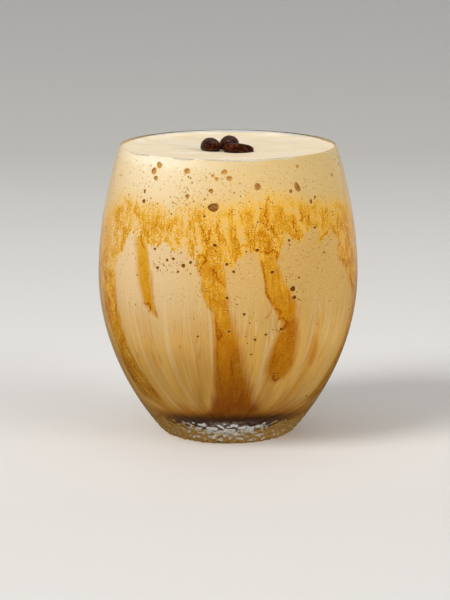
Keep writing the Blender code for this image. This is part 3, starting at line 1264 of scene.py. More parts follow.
@dataclass(frozen=True)
class BareMilk:
    """The drink where no caramel covers it: pale foam above, and milk that browns downwards in streaks.

    A pair is a smooth rise, from nothing at the first value to all at the second. Those of over 10
    are heights in millimetres, and a sway is how far a pattern moves such a height.
    """

    foam: str = "#d3b67d"
    # The pale lather's colour, also used for the painted light on the left.
    lather: str = "#f5e8d0"
    milk: str = "#cda65f"
    # A more golden milk for low down, brighter than the milk above: partly its own colour, partly painted
    # light for the light that the lower wall lacks.
    brightened_low_milk: str = "#ebb85b"
    deep_milk: str = "#ca8628"
    stained: str = "#c98a30"
    cloud_sway: float = 10.0
    foam_over: Pair = (68.0, 92.0)
    grain_sway: float = 2.6
    # How the white on the left is laid: partly the froth's own white, partly painted light and sheen.
    lather_sway: float = 2.4
    top_lather: Pair = (94.4, 96.6)
    top_lather_share: float = 0.4
    lather_over: Pair = (84.0, 95.0)
    lather_share: float = 0.2
    haze_over: Pair = (20.0, 70.0)
    haze_share: float = 0.4
    pale_grain: Pair = (0.05, 0.5)
    pale_grain_share: float = 0.2
    brightened_under: Pair = (52.0, 22.0)
    streaked_under: Pair = (62.0, 36.0)
    streak_share: float = 0.38
    bright_streak: Pair = (0.0, -0.4)
    vein_gain: float = 1.2
    pale_vein_gain: float = 0.5
    stain_streak: float = 0.7
    stain_share: float = 0.8
    streak_sway: float = 4.0
    deep_under: Pair = (18.5, 13.0)

    def nodes(self, tree: NodeTree, parts: Parts) -> Node:
        """Adds the milk's colour.

        Args:
            tree: the material's nodes.
            parts: the wall's patterns, fields and height.

        Returns:
            The colour.
        """
        height = parts["height"]
        swayed = add(tree, Kind.SUM, (parts["cloud"], self.cloud_sway, height))
        foamy = add(tree, Kind.RISE, (swayed, *ramp(self.foam_over)))
        # Painted light, in part: the milk is drawn brighter downwards.
        low = add(tree, Kind.RISE, (swayed, *ramp(self.brightened_under)))
        haze = add(tree, Kind.RISE, (height, *ramp(self.haze_over)))
        pale = add(tree, Kind.RISE, (parts["grain"], *ramp(self.pale_grain)))
        pale = add(tree, Kind.TIMES, (add(tree, Kind.TIMES, (pale, haze)), self.pale_grain_share))
        stain = add(tree, Kind.SUM, (parts["streak"], self.stain_streak, self.stain_share))
        stain = add(tree, Kind.TIMES, (parts["stain"], stain))
        sunk = add(tree, Kind.SUM, (parts["streak"], self.streak_sway, height))
        sunk = add(tree, Kind.RISE, (sunk, *ramp(self.deep_under)))
        bright, paler, lined = self.streaked(tree, parts)
        # Painted light and sheen: the white coat on the left.
        # Painted light, in part: the brightened milk low down.
        coats = (
            (foamy, self.foam), (self.white(tree, parts, haze), self.lather), (pale, self.lather),
            (low, self.brightened_low_milk), (bright, self.foam), (paler, self.lather), (stain, self.stained),
            (lined, self.deep_milk), (sunk, self.deep_milk),
        )
        return coated(tree, linear(self.milk), [(share, linear(colour)) for share, colour in coats])

    def white(self, tree: NodeTree, parts: Parts, haze: Node) -> Node:
        """Adds how far white covers the froth and the milk, most along its top and on the left: partly the
        lather's own white, and partly painted light and sheen where the key lamp shines.

        Args:
            tree: the material's nodes.
            parts: the wall's patterns, fields and height.
            haze: how far froth clouds the milk; the painted sheen follows it down the wall.

        Returns:
            The share.
        """
        edge = parts["height"]
        for label, sway in (("grain", self.grain_sway), ("cloud", self.lather_sway)):
            edge = add(tree, Kind.SUM, (parts[label], sway, edge))
        white = add(tree, Kind.RISE, (edge, *ramp(self.top_lather)))
        white = add(tree, Kind.TIMES, (white, self.top_lather_share))
        over = add(tree, Kind.RISE, (edge, *ramp(self.lather_over)))
        for part, share in ((over, self.lather_share), (haze, self.haze_share)):
            white = add(tree, Kind.SUM, (part, share, white))
        # Painted light: the white is kept to the left, where the key lamp shines.
        return add(tree, Kind.TIMES, (white, parts["lather"]))

    def streaked(self, tree: NodeTree, parts: Parts) -> list[Node]:
        """Adds the streaks of the lower wall, stronger downwards.

        Args:
            tree: the material's nodes.
            parts: the wall's patterns, fields and height.

        Returns:
            The shares of the bright streaks, the pale veins and the dark veins.
        """
        streaked = add(tree, Kind.RISE, (parts["height"], *ramp(self.streaked_under)))
        streaked = add(tree, Kind.TIMES, (streaked, self.streak_share))
        bright = add(tree, Kind.RISE, (parts["streak"], *ramp(self.bright_streak)))
        shares = [add(tree, Kind.TIMES, (bright, streaked))]
        for label, gain in (("pale vein", self.pale_vein_gain), ("vein", self.vein_gain)):
            shares.append(add(tree, Kind.TIMES, (parts[label], add(tree, Kind.TIMES, (streaked, gain)))))
        return shares


@dataclass(frozen=True)
class Flecks:
    """The finest bubbles, too small to be pockets, in swarms that are thickest in foam and band.

    Real ones are under 0.2 mm, too fine to show in the render, so these are drawn a little coarser.
    """

    colour: str = "#75400c"
    spacing: float = 0.8
    dot: Pair = (0.28, 0.14)
    swarm_gain: float = 1.3
    swarm_share: float = 0.3
    thicker_over: Pair = (40.0, 70.0)
    lowest_share: float = 0.15
    thinner_over: Pair = (84.0, 94.0)
    thinned: float = 0.4

    def nodes(self, tree: NodeTree, parts: Parts) -> Node:
        """Adds the flecks.

        Args:
            tree: the material's nodes.
            parts: the wall's patterns, fields and height.

        Returns:
            The share of their colour.
        """
        cells = add(tree, "ShaderNodeTexVoronoi", {"Vector": parts["mm"], "Scale": 1 / self.spacing})
        dot = add(tree, Kind.RISE, (cells.outputs["Distance"], *ramp(self.dot)))
        swarm = add(tree, Kind.SUM, (parts["cloud"], self.swarm_gain, self.swarm_share))
        chosen = add(tree, Kind.BELOW, (cells.outputs["Color"], swarm))
        strength = add(tree, Kind.RANGE, (parts["height"], *self.thicker_over, self.lowest_share, 1.0))
        thinner = add(tree, Kind.RISE, (parts["height"], *ramp(self.thinner_over)))
        thinner = add(tree, Kind.SUM, (thinner, -self.thinned, 1.0))
        strength = add(tree, Kind.TIMES, (strength, thinner))
        return add(tree, Kind.TIMES, (add(tree, Kind.TIMES, (dot, chosen)), strength))


@dataclass(frozen=True)
class MarbledMilk:
    """Whipped coffee and milk behind glass, marbled with caramel.

    The drink is a fine opaque froth, so it looks matt. Caramel clings to the glass in a film: golden
    where it is thin, amber in the runs and deep brown where it gathers. Fine bubbles fleck it.
    """

    patterns: WallPatterns = WallPatterns()
    fields: tuple[str, ...] = (
        "edge", "depth", "fray", "tear", "run", "stain", "thread", "channel", "lather",
    )
    film: CaramelFilm = CaramelFilm()
    milk: BareMilk = BareMilk()
    flecks: Flecks = Flecks()
    depths: Stops = (
        (0.12, "#e6b84c"), (0.46, "#cb921b"), (0.66, "#c07806"), (0.88, "#9c5203"),
    )
    burnt: str = "#5a3004"
    burnt_sway: float = 1.6
    burnt_under: Pair = (15.2, 12.5)
    underside: str = "#b09788"
    underside_under: Pair = (12.6, 12.3)
    underside_within: Pair = (7.0, 3.0)
    roughness: float = 0.55
    specular: float = 0.12

    def material(self, name: str) -> Material:
        """The finish of one layer. The layers share it, so that the marbling runs on from one to the next.

        Args:
            name: the layer's own name for it.

        Returns:
            The material.
        """
        material, tree = new_material(name)
        mm = place_in_mm(tree)
        parts = {**self.patterns.nodes(tree, mm), "mm": mm}
        parts["height"] = add(tree, "ShaderNodeSeparateXYZ", (mm,)).outputs["Z"]
        for label in self.fields:
            parts[label] = add(tree, "ShaderNodeAttribute", attribute_name=label).outputs["Fac"]
        share, tone = self.film.nodes(tree, parts)
        caramel = add(tree, "ShaderNodeValToRGB", (tone,), stops=self.depths)
        sunk = add(tree, Kind.SUM, (parts["fibre"], self.burnt_sway, parts["height"]))
        sunk = add(tree, Kind.RISE, (sunk, *ramp(self.burnt_under)))
        coats = (
            (share, caramel), (sunk, linear(self.burnt)),
            (self.under(tree, parts), linear(self.underside)),
            (self.flecks.nodes(tree, parts), linear(self.flecks.colour)),
        )
        colour = coated(tree, self.milk.nodes(tree, parts), coats)
        look = {"Base Color": colour, "Roughness": self.roughness, "Specular IOR Level": self.specular}
        add(tree, "ShaderNodeOutputMaterial", {"Surface": add(tree, "ShaderNodeBsdfPrincipled", look)})
        return material

    def under(self, tree: NodeTree, parts: Parts) -> Node:
        """Adds where the flat underside is, which shows through the thick floor of the glass.

        Args:
            tree: the material's nodes.
            parts: the wall's patterns, fields and height.

        Returns:
            Its share.
        """
        flat = add(tree, Kind.SCALED, (parts["mm"], (1, 1, 0)))
        across = add(tree, "ShaderNodeVectorMath", (flat,), operation="LENGTH").outputs["Value"]
        low = add(tree, Kind.RISE, (parts["height"], *ramp(self.underside_under)))
        near = add(tree, Kind.RISE, (across, *ramp(self.underside_within)))
        return add(tree, Kind.TIMES, (low, near))


@dataclass(frozen=True)
class FoamTop:
    """The open face of the milk foam: a fine, dry froth, matt and nearly even, with faint drawn streaks."""

    pale: str = "#f1e2c8"
    warm: str = "#ecd7b1"
    roughness: float = 0.7
    specular: float = 0.25
    streak_width: float = 2.2
    streak_across: float = 0.22
    streak_detail: float = 3.0
    streak_distortion: float = 0.6
    streak_range: Pair = (0.38, 0.62)
    froth_size: float = 0.5
    froth_detail: float = 2.0
    froth_bump: float = 0.25
    froth_depth: float = 0.0001

    def material(self) -> Material:
        """The finish of the foam's top."""
        material, tree = new_material("milk_foam_top")
        mm = place_in_mm(tree)
        drawn = add(tree, Kind.SCALED, (mm, (self.streak_across, 1, 1)))
        streaks = add(
            tree, "ShaderNodeTexNoise",
            {
                "Vector": drawn, "Scale": 1 / self.streak_width, "Detail": self.streak_detail,
                "Distortion": self.streak_distortion,
            },
        )
        froth = add(
            tree, "ShaderNodeTexNoise",
            {"Vector": mm, "Scale": 1 / self.froth_size, "Detail": self.froth_detail},
        )
        share = add(tree, Kind.RISE, (streaks.outputs["Fac"], *ramp(self.streak_range)))
        bump = add(
            tree, "ShaderNodeBump",
            {"Strength": self.froth_bump, "Distance": self.froth_depth, "Height": froth.outputs["Fac"]},
        )
        look = {
            "Base Color": coated(tree, linear(self.pale), [(share, linear(self.warm))]),
            "Roughness": self.roughness, "Specular IOR Level": self.specular, "Normal": bump,
        }
        add(tree, "ShaderNodeOutputMaterial", {"Surface": add(tree, "ShaderNodeBsdfPrincipled", look)})
        return material


@dataclass(frozen=True)
class Drink:
    """The three layers of the drink, which fill the glass and reach just into its wall."""

    glass: Tumbler
    caramel: Caramel = field(default_factory=Caramel)
    reach: float = 0.0001
    level: float = 0.0974
    meniscus: float = 0.001
    meniscus_sway: float = 0.25
    meniscus_fall: int = 14
    swirl_depth: float = 0.00022
    swirl_arms: int = 3
    swirl_turns: float = 1.6
    swirl_fall: int = 4
    middle_share: float = 0.01
    columns: int = 540
    spacing: float = 0.00052
    lip_rise: float = 0.0005
    lip_azimuth: float = -38.0
    lip_spread: float = 11.0
    lip_torn: float = 0.35
    torn_sway: Unevenness = Unevenness(21, 1.1, 60)
    wide_sway: Unevenness = Unevenness(22, 6, 60)

    def wall(self) -> Array:
        """The line of the drink's side, from the floor's edge up to the foam's."""
        inside = self.glass.inside()
        line = inside - sideways(inside) * self.reach
        return line[line[:, 1] < self.level + self.meniscus]

    def radius(self, height: Array) -> Array:
        """The drink's radius in millimetres at a height in millimetres."""
        line = self.wall() / MM
        return np.interp(height, line[:, 1], line[:, 0])

    def foothold(self, azimuth: float, height: float) -> tuple[Array, ...]:
        """A place on the wall, and the ways round, up and out from it.

        Args:
            azimuth: in degrees.
            height: in millimetres.

        Returns:
            The place in metres, and three unit steps.
        """
        line = self.wall()
        level = height * MM
        angle = np.array([math.radians(azimuth - 90)])
        near = int(np.argmin(np.abs(line[:, 1] - level)))
        square = sideways(line)[near]
        row = np.array([[np.interp(level, line[:, 1], line[:, 0]), level]])
        row = row + square * self.glass.ridges(row, angle)[0, 0]
        ahead = np.array((math.cos(angle[0]), math.sin(angle[0]), 0.0))
        around = np.array((-ahead[1], ahead[0], 0.0))
        out = -square[0] * ahead - square[1] * np.array((0.0, 0.0, 1.0))
        return row[0, 0] * ahead + np.array((0.0, 0.0, row[0, 1])), around, np.cross(out, around), out

    def stretch(self, low: float, high: float) -> Array:
        """The part of the wall's line between two heights, evenly spaced, with both ends exact."""
        line = self.wall()
        ends = [(np.interp(height, line[:, 1], line[:, 0]), height) for height in (low, high)]
        within = line[(line[:, 1] > low) & (line[:, 1] < high)]
        return respaced(np.vstack((ends[0], within, ends[1])), self.spacing)

    def top(self, edge: Array) -> Array:
        """The foam's open face, from its edge on the glass to near the axis.

        Args:
            edge: the places of the edge, one row for each column.

        Returns:
            Places by row, column and axis.
        """
        angle = column_angles(self.columns)
        edge_radius = float(np.hypot(edge[0, 0], edge[0, 1]))
        shares = np.linspace(1, self.middle_share, round(edge_radius / self.spacing))[:, None]
        wave = np.sin(self.swirl_arms * angle + self.swirl_turns * 2 * math.pi * shares)
        height = self.level + self.swirl_depth * wave * shares * (1 - shares ** self.swirl_fall)
        height = height + self.edge_rise(angle) * shares ** self.meniscus_fall
        radius = edge_radius * shares
        return np.stack((radius * np.cos(angle), radius * np.sin(angle), height), axis=2)

    def edge_rise(self, angle: Array) -> Array:
        """How far the foam climbs the glass: a little all round, and in a torn lip at the left front.

        Args:
            angle: the angle from +X of each column.

        Returns:
            The climb of each column.
        """
        azimuth = wrapped(np.degrees(angle) + 90)
        torn, wide = (
            sway.at(azimuth, np.zeros(azimuth.shape)) for sway in (self.torn_sway, self.wide_sway)
        )
        near = bell(azimuth, self.lip_azimuth, self.lip_spread)
        lip = self.lip_rise * near * (1 - self.lip_torn + self.lip_torn * torn)
        return self.meniscus * (1 + self.meniscus_sway * wide) + lip

    def build(
        self, wall_finish: MarbledMilk, top_finish: FoamTop, froth: "Froth", film: Material
    ) -> list[Object]:
        """Makes the three layers.

        Args:
            wall_finish: the finish of what shows through the glass.
            top_finish: the finish of the foam's open face.
            froth: the bubbles against the glass.
            film: the finish inside them.

        Returns:
            The pieces, in place, from the lowest up.
        """
        first_seam = (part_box("caramel_pool")[1][2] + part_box("frappe")[0][2]) / 2
        second_seam = (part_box("frappe")[1][2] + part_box("foam_head")[0][2]) / 2
        floor = self.glass.floor_height - self.reach
        top_material = top_finish.material()
        bubbles = froth.all_bubbles()
        layers = (
            ("caramel_layer", floor, first_seam, Slot.CARAMEL, "caramel_pool"),
            ("frappe_layer", first_seam, second_seam, Slot.FRAPPE, "frappe"),
            ("foam_layer", second_seam, self.level + self.meniscus, Slot.FOAM, "foam_head"),
        )
        pieces = []
        for name, low, high, slot, node in layers:
            piece = self.layer(name, low, high, wall_finish, top_material, slot is Slot.FOAM)
            if slot is not Slot.CARAMEL:
                froth.press(piece, froth.cutter(self, bubbles, (low / MM, high / MM), film))
            place(piece, slot, node)
            pieces.append(piece)
        return pieces

    def layer(
        self, name: str, low: float, high: float, wall_finish: MarbledMilk,
        top_material: Material, open_topped: bool,
    ) -> Object:
        """Makes one layer as a closed piece.

        Args:
            name: the piece's name.
            low: the height of its underside.
            high: the height of its top.
            wall_finish: the finish of its side.
            top_material: the finish of the foam's open face.
            open_topped: whether its top is that face.

        Returns:
            The piece.
        """
        line = self.stretch(max(low, self.glass.floor_height), high)
        if low < self.glass.floor_height:
            line = np.vstack((self.wall()[:1], line))
        angle = column_angles(self.columns)
        side = turned(line, self.columns, self.glass.ridges(line, angle))
        azimuth, height = np.broadcast_arrays(np.degrees(angle) + 90, side[:, :, 2] / MM)
        rows = np.vstack((side[:-1], self.top(side[-1]))) if open_topped else side
        points, faces = closed_skin(rows)
        off_the_wall = np.zeros(len(points) - azimuth.size)
        fields = self.caramel.fields(azimuth, height, self.radius)
        fields = {label: np.append(values, off_the_wall) for label, values in fields.items()}
        materials = [wall_finish.material(name + "_wall"), top_material]
        piece = new_piece(name, points, faces, materials, fields)
        if open_topped:
            count, columns = rows.shape[:2]
            marks = np.zeros(len(faces), dtype=np.int32)
            marks[(len(side) - 1) * columns:(count - 1) * columns] = 1
            marks[-columns:] = 1
            piece.data.polygons.foreach_set("material_index", marks)
        return piece


@dataclass(frozen=True)
class BubbleFilm:
    """The inside of a bubble that burst against the glass.

    Coffee drains from the foam, so the bubbles up there are tan and the ones below are brown. The
    change goes by the height in millimetres, which lumps of two sizes move up and down.
    """

    film: str = "#d6a35c"
    drained: str = "#84490f"
    roughness: float = 0.6
    specular: float = 0.08
    lump_size: float = 0.5
    mottling: float = 1.6
    spread: float = 5.0
    detail: float = 2.0
    sway: float = 14.0
    tan_over: Pair = (98.0, 112.0)

    def material(self) -> Material:
        """The finish of the bubbles."""
        material, tree = new_material("bubble_film")
        mm = place_in_mm(tree)
        fine, wide = (
            add(tree, "ShaderNodeTexNoise", {"Vector": mm, "Scale": 1 / size, "Detail": self.detail})
            for size in (self.lump_size, self.spread)
        )
        both = add(tree, Kind.SUM, (fine.outputs["Fac"], self.mottling, wide.outputs["Fac"]))
        height = add(tree, "ShaderNodeSeparateXYZ", (mm,)).outputs["Z"]
        both = add(tree, Kind.SUM, (both, self.sway, height))
        share = add(tree, Kind.RANGE, (both, *self.tan_over))
        look = {
            "Base Color": coated(tree, linear(self.drained), [(share, linear(self.film))]),
            "Roughness": self.roughness, "Specular IOR Level": self.specular,
        }
        add(tree, "ShaderNodeOutputMaterial", {"Surface": add(tree, "ShaderNodeBsdfPrincipled", look)})
        return material


@dataclass(frozen=True)
class Froth:
    """The bubbles of air against the glass, each a pocket in the drink.

    A bubble is its azimuth, its height, its width and how tall it is, and how far it leans in degrees.
    A zone is two azimuths, two heights and how many small bubbles are tried there. A step is the
    width that a bubble has to be over, and the columns and rows of its shape.
    """

    shown: tuple[tuple[float, ...], ...] = (
        (-6.9, 83.9, 3.4, 2.4, 8), (35.6, 89.3, 1.8, 3.1, 20), (14.4, 90.3, 2.1, 2.1, 0),
        (-37.5, 96.2, 2.1, 1.6, -15), (-40.3, 94.2, 1.8, 2.0, 0), (-38.4, 92, 1.4, 1.4, 0),
        (-21.1, 95.1, 1.8, 1.6, 0), (-1.9, 95.1, 1.8, 1.5, 15), (0.5, 93.1, 1.8, 1.4, 0),
        (-7.6, 93.9, 1, 0.9, 0), (-5.7, 92.9, 1.2, 1, 0), (31.6, 88.2, 1.2, 1.1, 0),
        (37.6, 95.8, 1.2, 1.1, 0), (-8.3, 89.1, 1.4, 1.3, 0), (-19.8, 87.1, 1.3, 1.2, 0),
        (-44.1, 87.4, 0.9, 1.2, 0), (-43.7, 84.2, 1.3, 1.2, 30), (42.7, 84.2, 1.1, 1.3, 0),
        (45.8, 85.4, 0.9, 0.9, 0), (-11, 81, 0.9, 0.6, 0), (-5.9, 71.8, 1.2, 0.9, -20),
        (-34.6, 69.4, 0.8, 0.7, 0), (-27.9, 66.2, 0.8, 0.8, 0), (-24.8, 66.8, 0.9, 0.8, 0),
        (-32.6, 63.4, 1, 0.9, 0), (-20, 64.8, 1.2, 1.1, 0), (-16.7, 66, 0.9, 0.9, 0),
        (-22.4, 62.7, 0.7, 0.6, 0), (-29.5, 64.4, 0.5, 0.5, 0), (-0.6, 65.7, 0.9, 0.9, 0),
        (2.4, 63.3, 0.8, 0.8, 0), (19.6, 62.7, 1.2, 1, 0), (28.3, 72.6, 0.8, 0.8, 0),
        (28.5, 71.1, 0.5, 0.5, 0), (43.3, 75.7, 0.8, 0.8, 0), (47.7, 67.2, 0.7, 0.7, 0),
        (29.3, 56.7, 1.7, 1.6, 0), (30.1, 53.8, 1.4, 1.2, 0), (32.4, 53, 0.6, 0.5, 0),
        (32.5, 60.2, 0.7, 0.6, 0), (-0.5, 54.7, 0.9, 0.9, 0), (7, 49.2, 0.9, 0.8, 0),
        (24.6, 43.4, 1, 1, 0), (17.3, 41.9, 1, 0.8, 0), (12.3, 40.4, 0.9, 0.8, 0),
        (0.3, 43.3, 1.1, 0.8, 0), (11, 35.3, 0.7, 0.6, 0), (-13.9, 41.4, 0.7, 0.7, 0),
        (12.9, 70.1, 1.2, 0.9, 20), (25.5, 27.8, 0.9, 0.7, 0), (68.9, 18.3, 0.8, 0.6, 0),
    )
    zones: tuple[tuple[float, ...], ...] = (
        (-180, 180, 88, 96.6, 190), (-180, 180, 82.8, 88, 110), (-180, 180, 70, 81.2, 150),
        (-180, 180, 50, 70, 110), (-180, 180, 26, 50, 40), (-35, -12, 62, 70, 34),
        (-30, -8, 83, 88, 26), (-24, 6, 88, 96, 44), (25, 37, 52, 61, 18), (8, 27, 39, 48, 14),
        (-14, 4, 50, 68, 26), (8, 24, 68, 80, 26),
    )
    small: Pair = (0.26, 0.62)
    hidden_large: int = 44
    large: Pair = (0.8, 2.2)
    squash: Pair = (0.75, 1.05)
    hidden_from: float = 62.0
    highest: float = 96.0
    deepest: float = 55.0
    thinning: float = 1.6
    rarity: int = 3
    seam: float = 82.0
    seam_room: float = 1.2
    layer_room: float = 0.1
    pocket_share: float = 0.36
    swell: float = 1.1
    gap: float = 0.2
    wall_radius: float = 41.0
    steps: tuple[tuple[float, int, int], ...] = ((1.1, 28, 14), (0.65, 18, 10), (0.0, 10, 6))
    waver: Pair = (0.05, 0.04)
    sharp_angle: float = math.radians(60)
    seed: int = 31

    def all_bubbles(self) -> list[tuple[float, ...]]:
        """The bubbles of the shown side, and by a seeded rule the small ones and those of the hidden side.

        The rule keeps large bubbles off the seam between two layers, and sets fewer lower down.
        """
        draw = np.random.default_rng(self.seed)
        bubbles = [
            (azimuth, height, width * self.swell, tall * self.swell, lean)
            for azimuth, height, width, tall, lean in self.shown
        ]
        for _ in range(self.hidden_large):
            size = self.drawn_size(draw, self.large)
            azimuth = draw.uniform(self.hidden_from, 360 - self.hidden_from)
            height = self.highest - self.deepest * draw.uniform() ** self.thinning
            if abs(height - self.seam) <= self.seam_room + size / 2:
                continue
            height = min(height, self.highest - size / 2)
            self.keep(bubbles, (azimuth, height, size, size * draw.uniform(*self.squash), 0))
        for left, right, low, high, count in self.zones:
            for _ in range(count):
                size = self.drawn_size(draw, self.small)
                spot = (draw.uniform(left, right), draw.uniform(low, high))
                self.keep(bubbles, (*spot, size, size, 0))
        return bubbles

    def drawn_size(self, draw: np.random.Generator, sizes: Pair) -> float:
        """A size between the two, and more often near the small one."""
        return sizes[0] + (sizes[1] - sizes[0]) * draw.uniform() ** self.rarity

    def keep(self, bubbles: list[tuple[float, ...]], bubble: tuple[float, ...]) -> None:
        """Adds a bubble to the list if it is clear of the others.

        Args:
            bubbles: the list.
            bubble: the new one.
        """
        for other in bubbles:
            turn = (bubble[0] - other[0] + 180) % 360 - 180
            room = (max(bubble[2:4]) + max(other[2:4])) / 2 + self.gap
            if math.hypot(math.radians(turn) * self.wall_radius, bubble[1] - other[1]) < room:
                return
        bubbles.append(bubble)

    def cutter(
        self, drink: Drink, bubbles: Sequence[tuple[float, ...]], span: Pair,
        film: Material,
    ) -> Object:
        """Makes the shapes of all the bubbles between two heights.

        Args:
            drink: gives the places on the wall.
            bubbles: all the bubbles.
            span: the two heights, in millimetres.
            film: the finish of the pockets.

        Returns:
            One piece, which cuts the pockets.
        """
        low, high = span
        points, faces, start = [], [], 0
        for bubble in bubbles:
            room = bubble[3] / 2 + self.layer_room
            if not low + room < bubble[1] < high - room:
                continue
            part, rings = self.ball(drink, bubble)
            points.append(part)
            faces += [tuple(corner + start for corner in face) for face in rings]
            start += len(part)
        return new_piece("bubble_shapes", np.vstack(points), faces, [film])

    def ball(self, drink: Drink, bubble: tuple[float, ...]) -> tuple[Array, list[tuple[int, ...]]]:
        """Makes the shape of one bubble, a flat uneven ball whose middle lies on the wall.

        Args:
            drink: gives the place on the wall.
            bubble: its azimuth, height, width, height of its own and lean.

        Returns:
            The points and the faces.
        """
        azimuth, height, width, tall, lean = bubble
        columns, rows = next(counts for least, *counts in self.steps if width > least)
        depth = self.pocket_share * min(width, tall)
        spot, around, up, out = drink.foothold(azimuth, height)
        turn = np.linspace(0, math.pi, rows + 1)[1:-1, None]
        angle = column_angles(columns)[None, :]
        x, y, z = np.sin(turn) * np.cos(angle), np.sin(turn) * np.sin(angle), -np.cos(turn) + 0 * angle
        three, two = self.waver
        wobble = 1 + three * np.sin(3 * angle + azimuth) + two * np.sin(2 * angle + 2 * height)
        c, s = math.cos(math.radians(lean)), math.sin(math.radians(lean))
        u = (x * width * c - y * tall * s) / 2 * wobble
        v = (x * width * s + y * tall * c) / 2 * wobble
        shape = (u[..., None] * around + v[..., None] * up + (z * depth)[..., None] * out) * MM + spot
        return closed_ball(shape, [spot + side * depth * MM * out for side in (-1, 1)])

    def press(self, piece: Object, cutter: Object) -> None:
        """Cuts the pockets into a layer of the drink.

        Args:
            piece: the layer.
            cutter: the bubbles' shapes, which are removed.
        """
        cut = piece.modifiers.new("froth", "BOOLEAN")
        cut.operation = "DIFFERENCE"
        cut.solver = "MANIFOLD"
        cut.material_mode = "TRANSFER"
        cut.object = cutter
        seen = piece.evaluated_get(bpy.context.evaluated_depsgraph_get())
        mesh = bpy.data.meshes.new_from_object(seen)
        piece.modifiers.clear()
        piece.data = mesh
        mesh.set_sharp_from_angle(angle=self.sharp_angle)
        bpy.data.objects.remove(cutter)


@dataclass(frozen=True)
class RoastedBean:
    """A coffee bean of a dark roast: reddish dark brown, its wrinkled skin satin with a little oil, and
    mottled lighter and redder, partly by its uneven roast and partly by painted highlights.
    """

    # The lightest, reddish stop is partly the roast's uneven colour and partly painted highlights.
    colours_and_painted_light: Stops = ((0.3, "#120603"), (0.5, "#220b03"), (0.72, "#6a2f12"))
    roughness: float = 0.36
    specular: float = 0.12
    wrinkle_size: float = 0.7
    wrinkle_detail: float = 4.0
    wrinkle_bump: float = 0.9
    wrinkle_depth: float = 0.0003

    def material(self) -> Material:
        """The finish of the beans."""
        material, tree = new_material("dry_roasted_bean")
        wrinkles = add(
            tree, "ShaderNodeTexNoise",
            {"Vector": place_in_mm(tree), "Scale": 1 / self.wrinkle_size, "Detail": self.wrinkle_detail},
        ).outputs["Fac"]
        # Painted highlights, in part: the wrinkles' noise lifts the skin to the reddish stop.
        colour = add(tree, "ShaderNodeValToRGB", (wrinkles,), stops=self.colours_and_painted_light)
        bump = add(
            tree, "ShaderNodeBump",
            {"Strength": self.wrinkle_bump, "Distance": self.wrinkle_depth, "Height": wrinkles},
        )
        look = {
            "Base Color": colour, "Roughness": self.roughness,
            "Specular IOR Level": self.specular, "Normal": bump,
        }
        add(tree, "ShaderNodeOutputMaterial", {"Surface": add(tree, "ShaderNodeBsdfPrincipled", look)})
        return material


@dataclass(frozen=True)
class Bean:
    """One coffee bean: its sizes, its place over the foam and its turns in degrees."""

    node: str
    half_length: float
    half_width: float
    back: float
    face: float
    spot: Spot
    turn: Spot
    taper: float = 0.12
    flatness: float = 0.6
    crease_depth: float = 0.0006
    crease_half_width: float = 0.0005
    crease_wander: float = 0.0004
    crease_fall: int = 6
    lump_depth: float = 0.00013
    lump_sink: float = 0.6
    lump_size: float = 0.0011
    fine_lump_size: float = 0.0005
    columns: int = 72
    rows: int = 48

    def build(self, level: float, material: Material) -> Object:
        """Makes the bean, lying on the foam.

        Args:
            level: the height of the foam.
            material: its finish.

        Returns:
            The piece, in place.
        """
        turn = np.linspace(0, math.pi, self.rows + 2)[1:-1, None]
        angle = column_angles(self.columns)[None, :]
        x = -np.cos(turn) + 0 * angle
        y = np.sin(turn) * np.cos(angle)
        z = np.sin(turn) * np.sin(angle)
        middle = self.crease_wander * np.sin(math.pi * x)
        across = y * self.half_width * (1 - self.taper * x)
        fold = bell(across, middle, self.crease_half_width)
        crease = self.crease_depth * fold * np.clip(-z, 0, None) * (1 - x ** self.crease_fall)
        rise = np.where(z > 0, z * self.back, -np.abs(z) ** self.flatness * self.face)
        shape = np.stack((x * self.half_length, across, rise + crease), axis=2)
        around = Euler([math.radians(degrees) for degrees in self.turn]).to_matrix()
        centre = np.array((*self.spot[:2], level + self.spot[2]))
        rows = shape @ np.array(around).T + centre
        points, faces = closed_ball(rows, [rows[row].mean(axis=0) for row in (0, -1)])
        for point in points:
            spot = Vector(point)
            uneven = lumps(spot / self.lump_size, spot / self.fine_lump_size)
            away = (point - centre) / np.linalg.norm(point - centre)
            point += away * (uneven - self.lump_sink) * self.lump_depth
        piece = new_piece(self.node + "_roasted", points, faces, [material])
        place(piece, Slot.BEAN, self.node)
        return piece


BEANS = (
    Bean("coffee_bean_left", 0.0048, 0.0031, 0.0033, 0.0014, (-0.0060, -0.0032, 0.0011), (4, 5, 118)),
    Bean("coffee_bean_middle", 0.0048, 0.0034, 0.0032, 0.0014, (0.0004, 0.0026, 0.0011), (-5, -4, 79)),
    Bean("coffee_bean_right", 0.0053, 0.0033, 0.0029, 0.0014, (0.0034, -0.0065, 0.0010), (150, 4, 4)),
)


@dataclass(frozen=True)
class Lamp:
    """A soft round lamp: where it hangs, how wide it is, and its power in watts."""

    name: str
    spot: Spot
    side: float
    power: float

    def hang(self, aim: Spot) -> None:
        """Hangs the lamp so that it shines on a place. The glass doesn't mirror it.

        Args:
            aim: the place.
        """
        lamp = bpy.data.lights.new(self.name, "AREA")
        lamp.shape = "DISK"
        lamp.size = self.side
        lamp.energy = self.power
        holder = bpy.data.objects.new(self.name, lamp)
        holder.location = self.spot
        way = Vector(aim) - Vector(self.spot)
        holder.rotation_euler = way.to_track_quat("-Z", "Y").to_euler()
        holder.visible_glossy = False
        holder.visible_transmission = False
        bpy.context.collection.objects.link(holder)


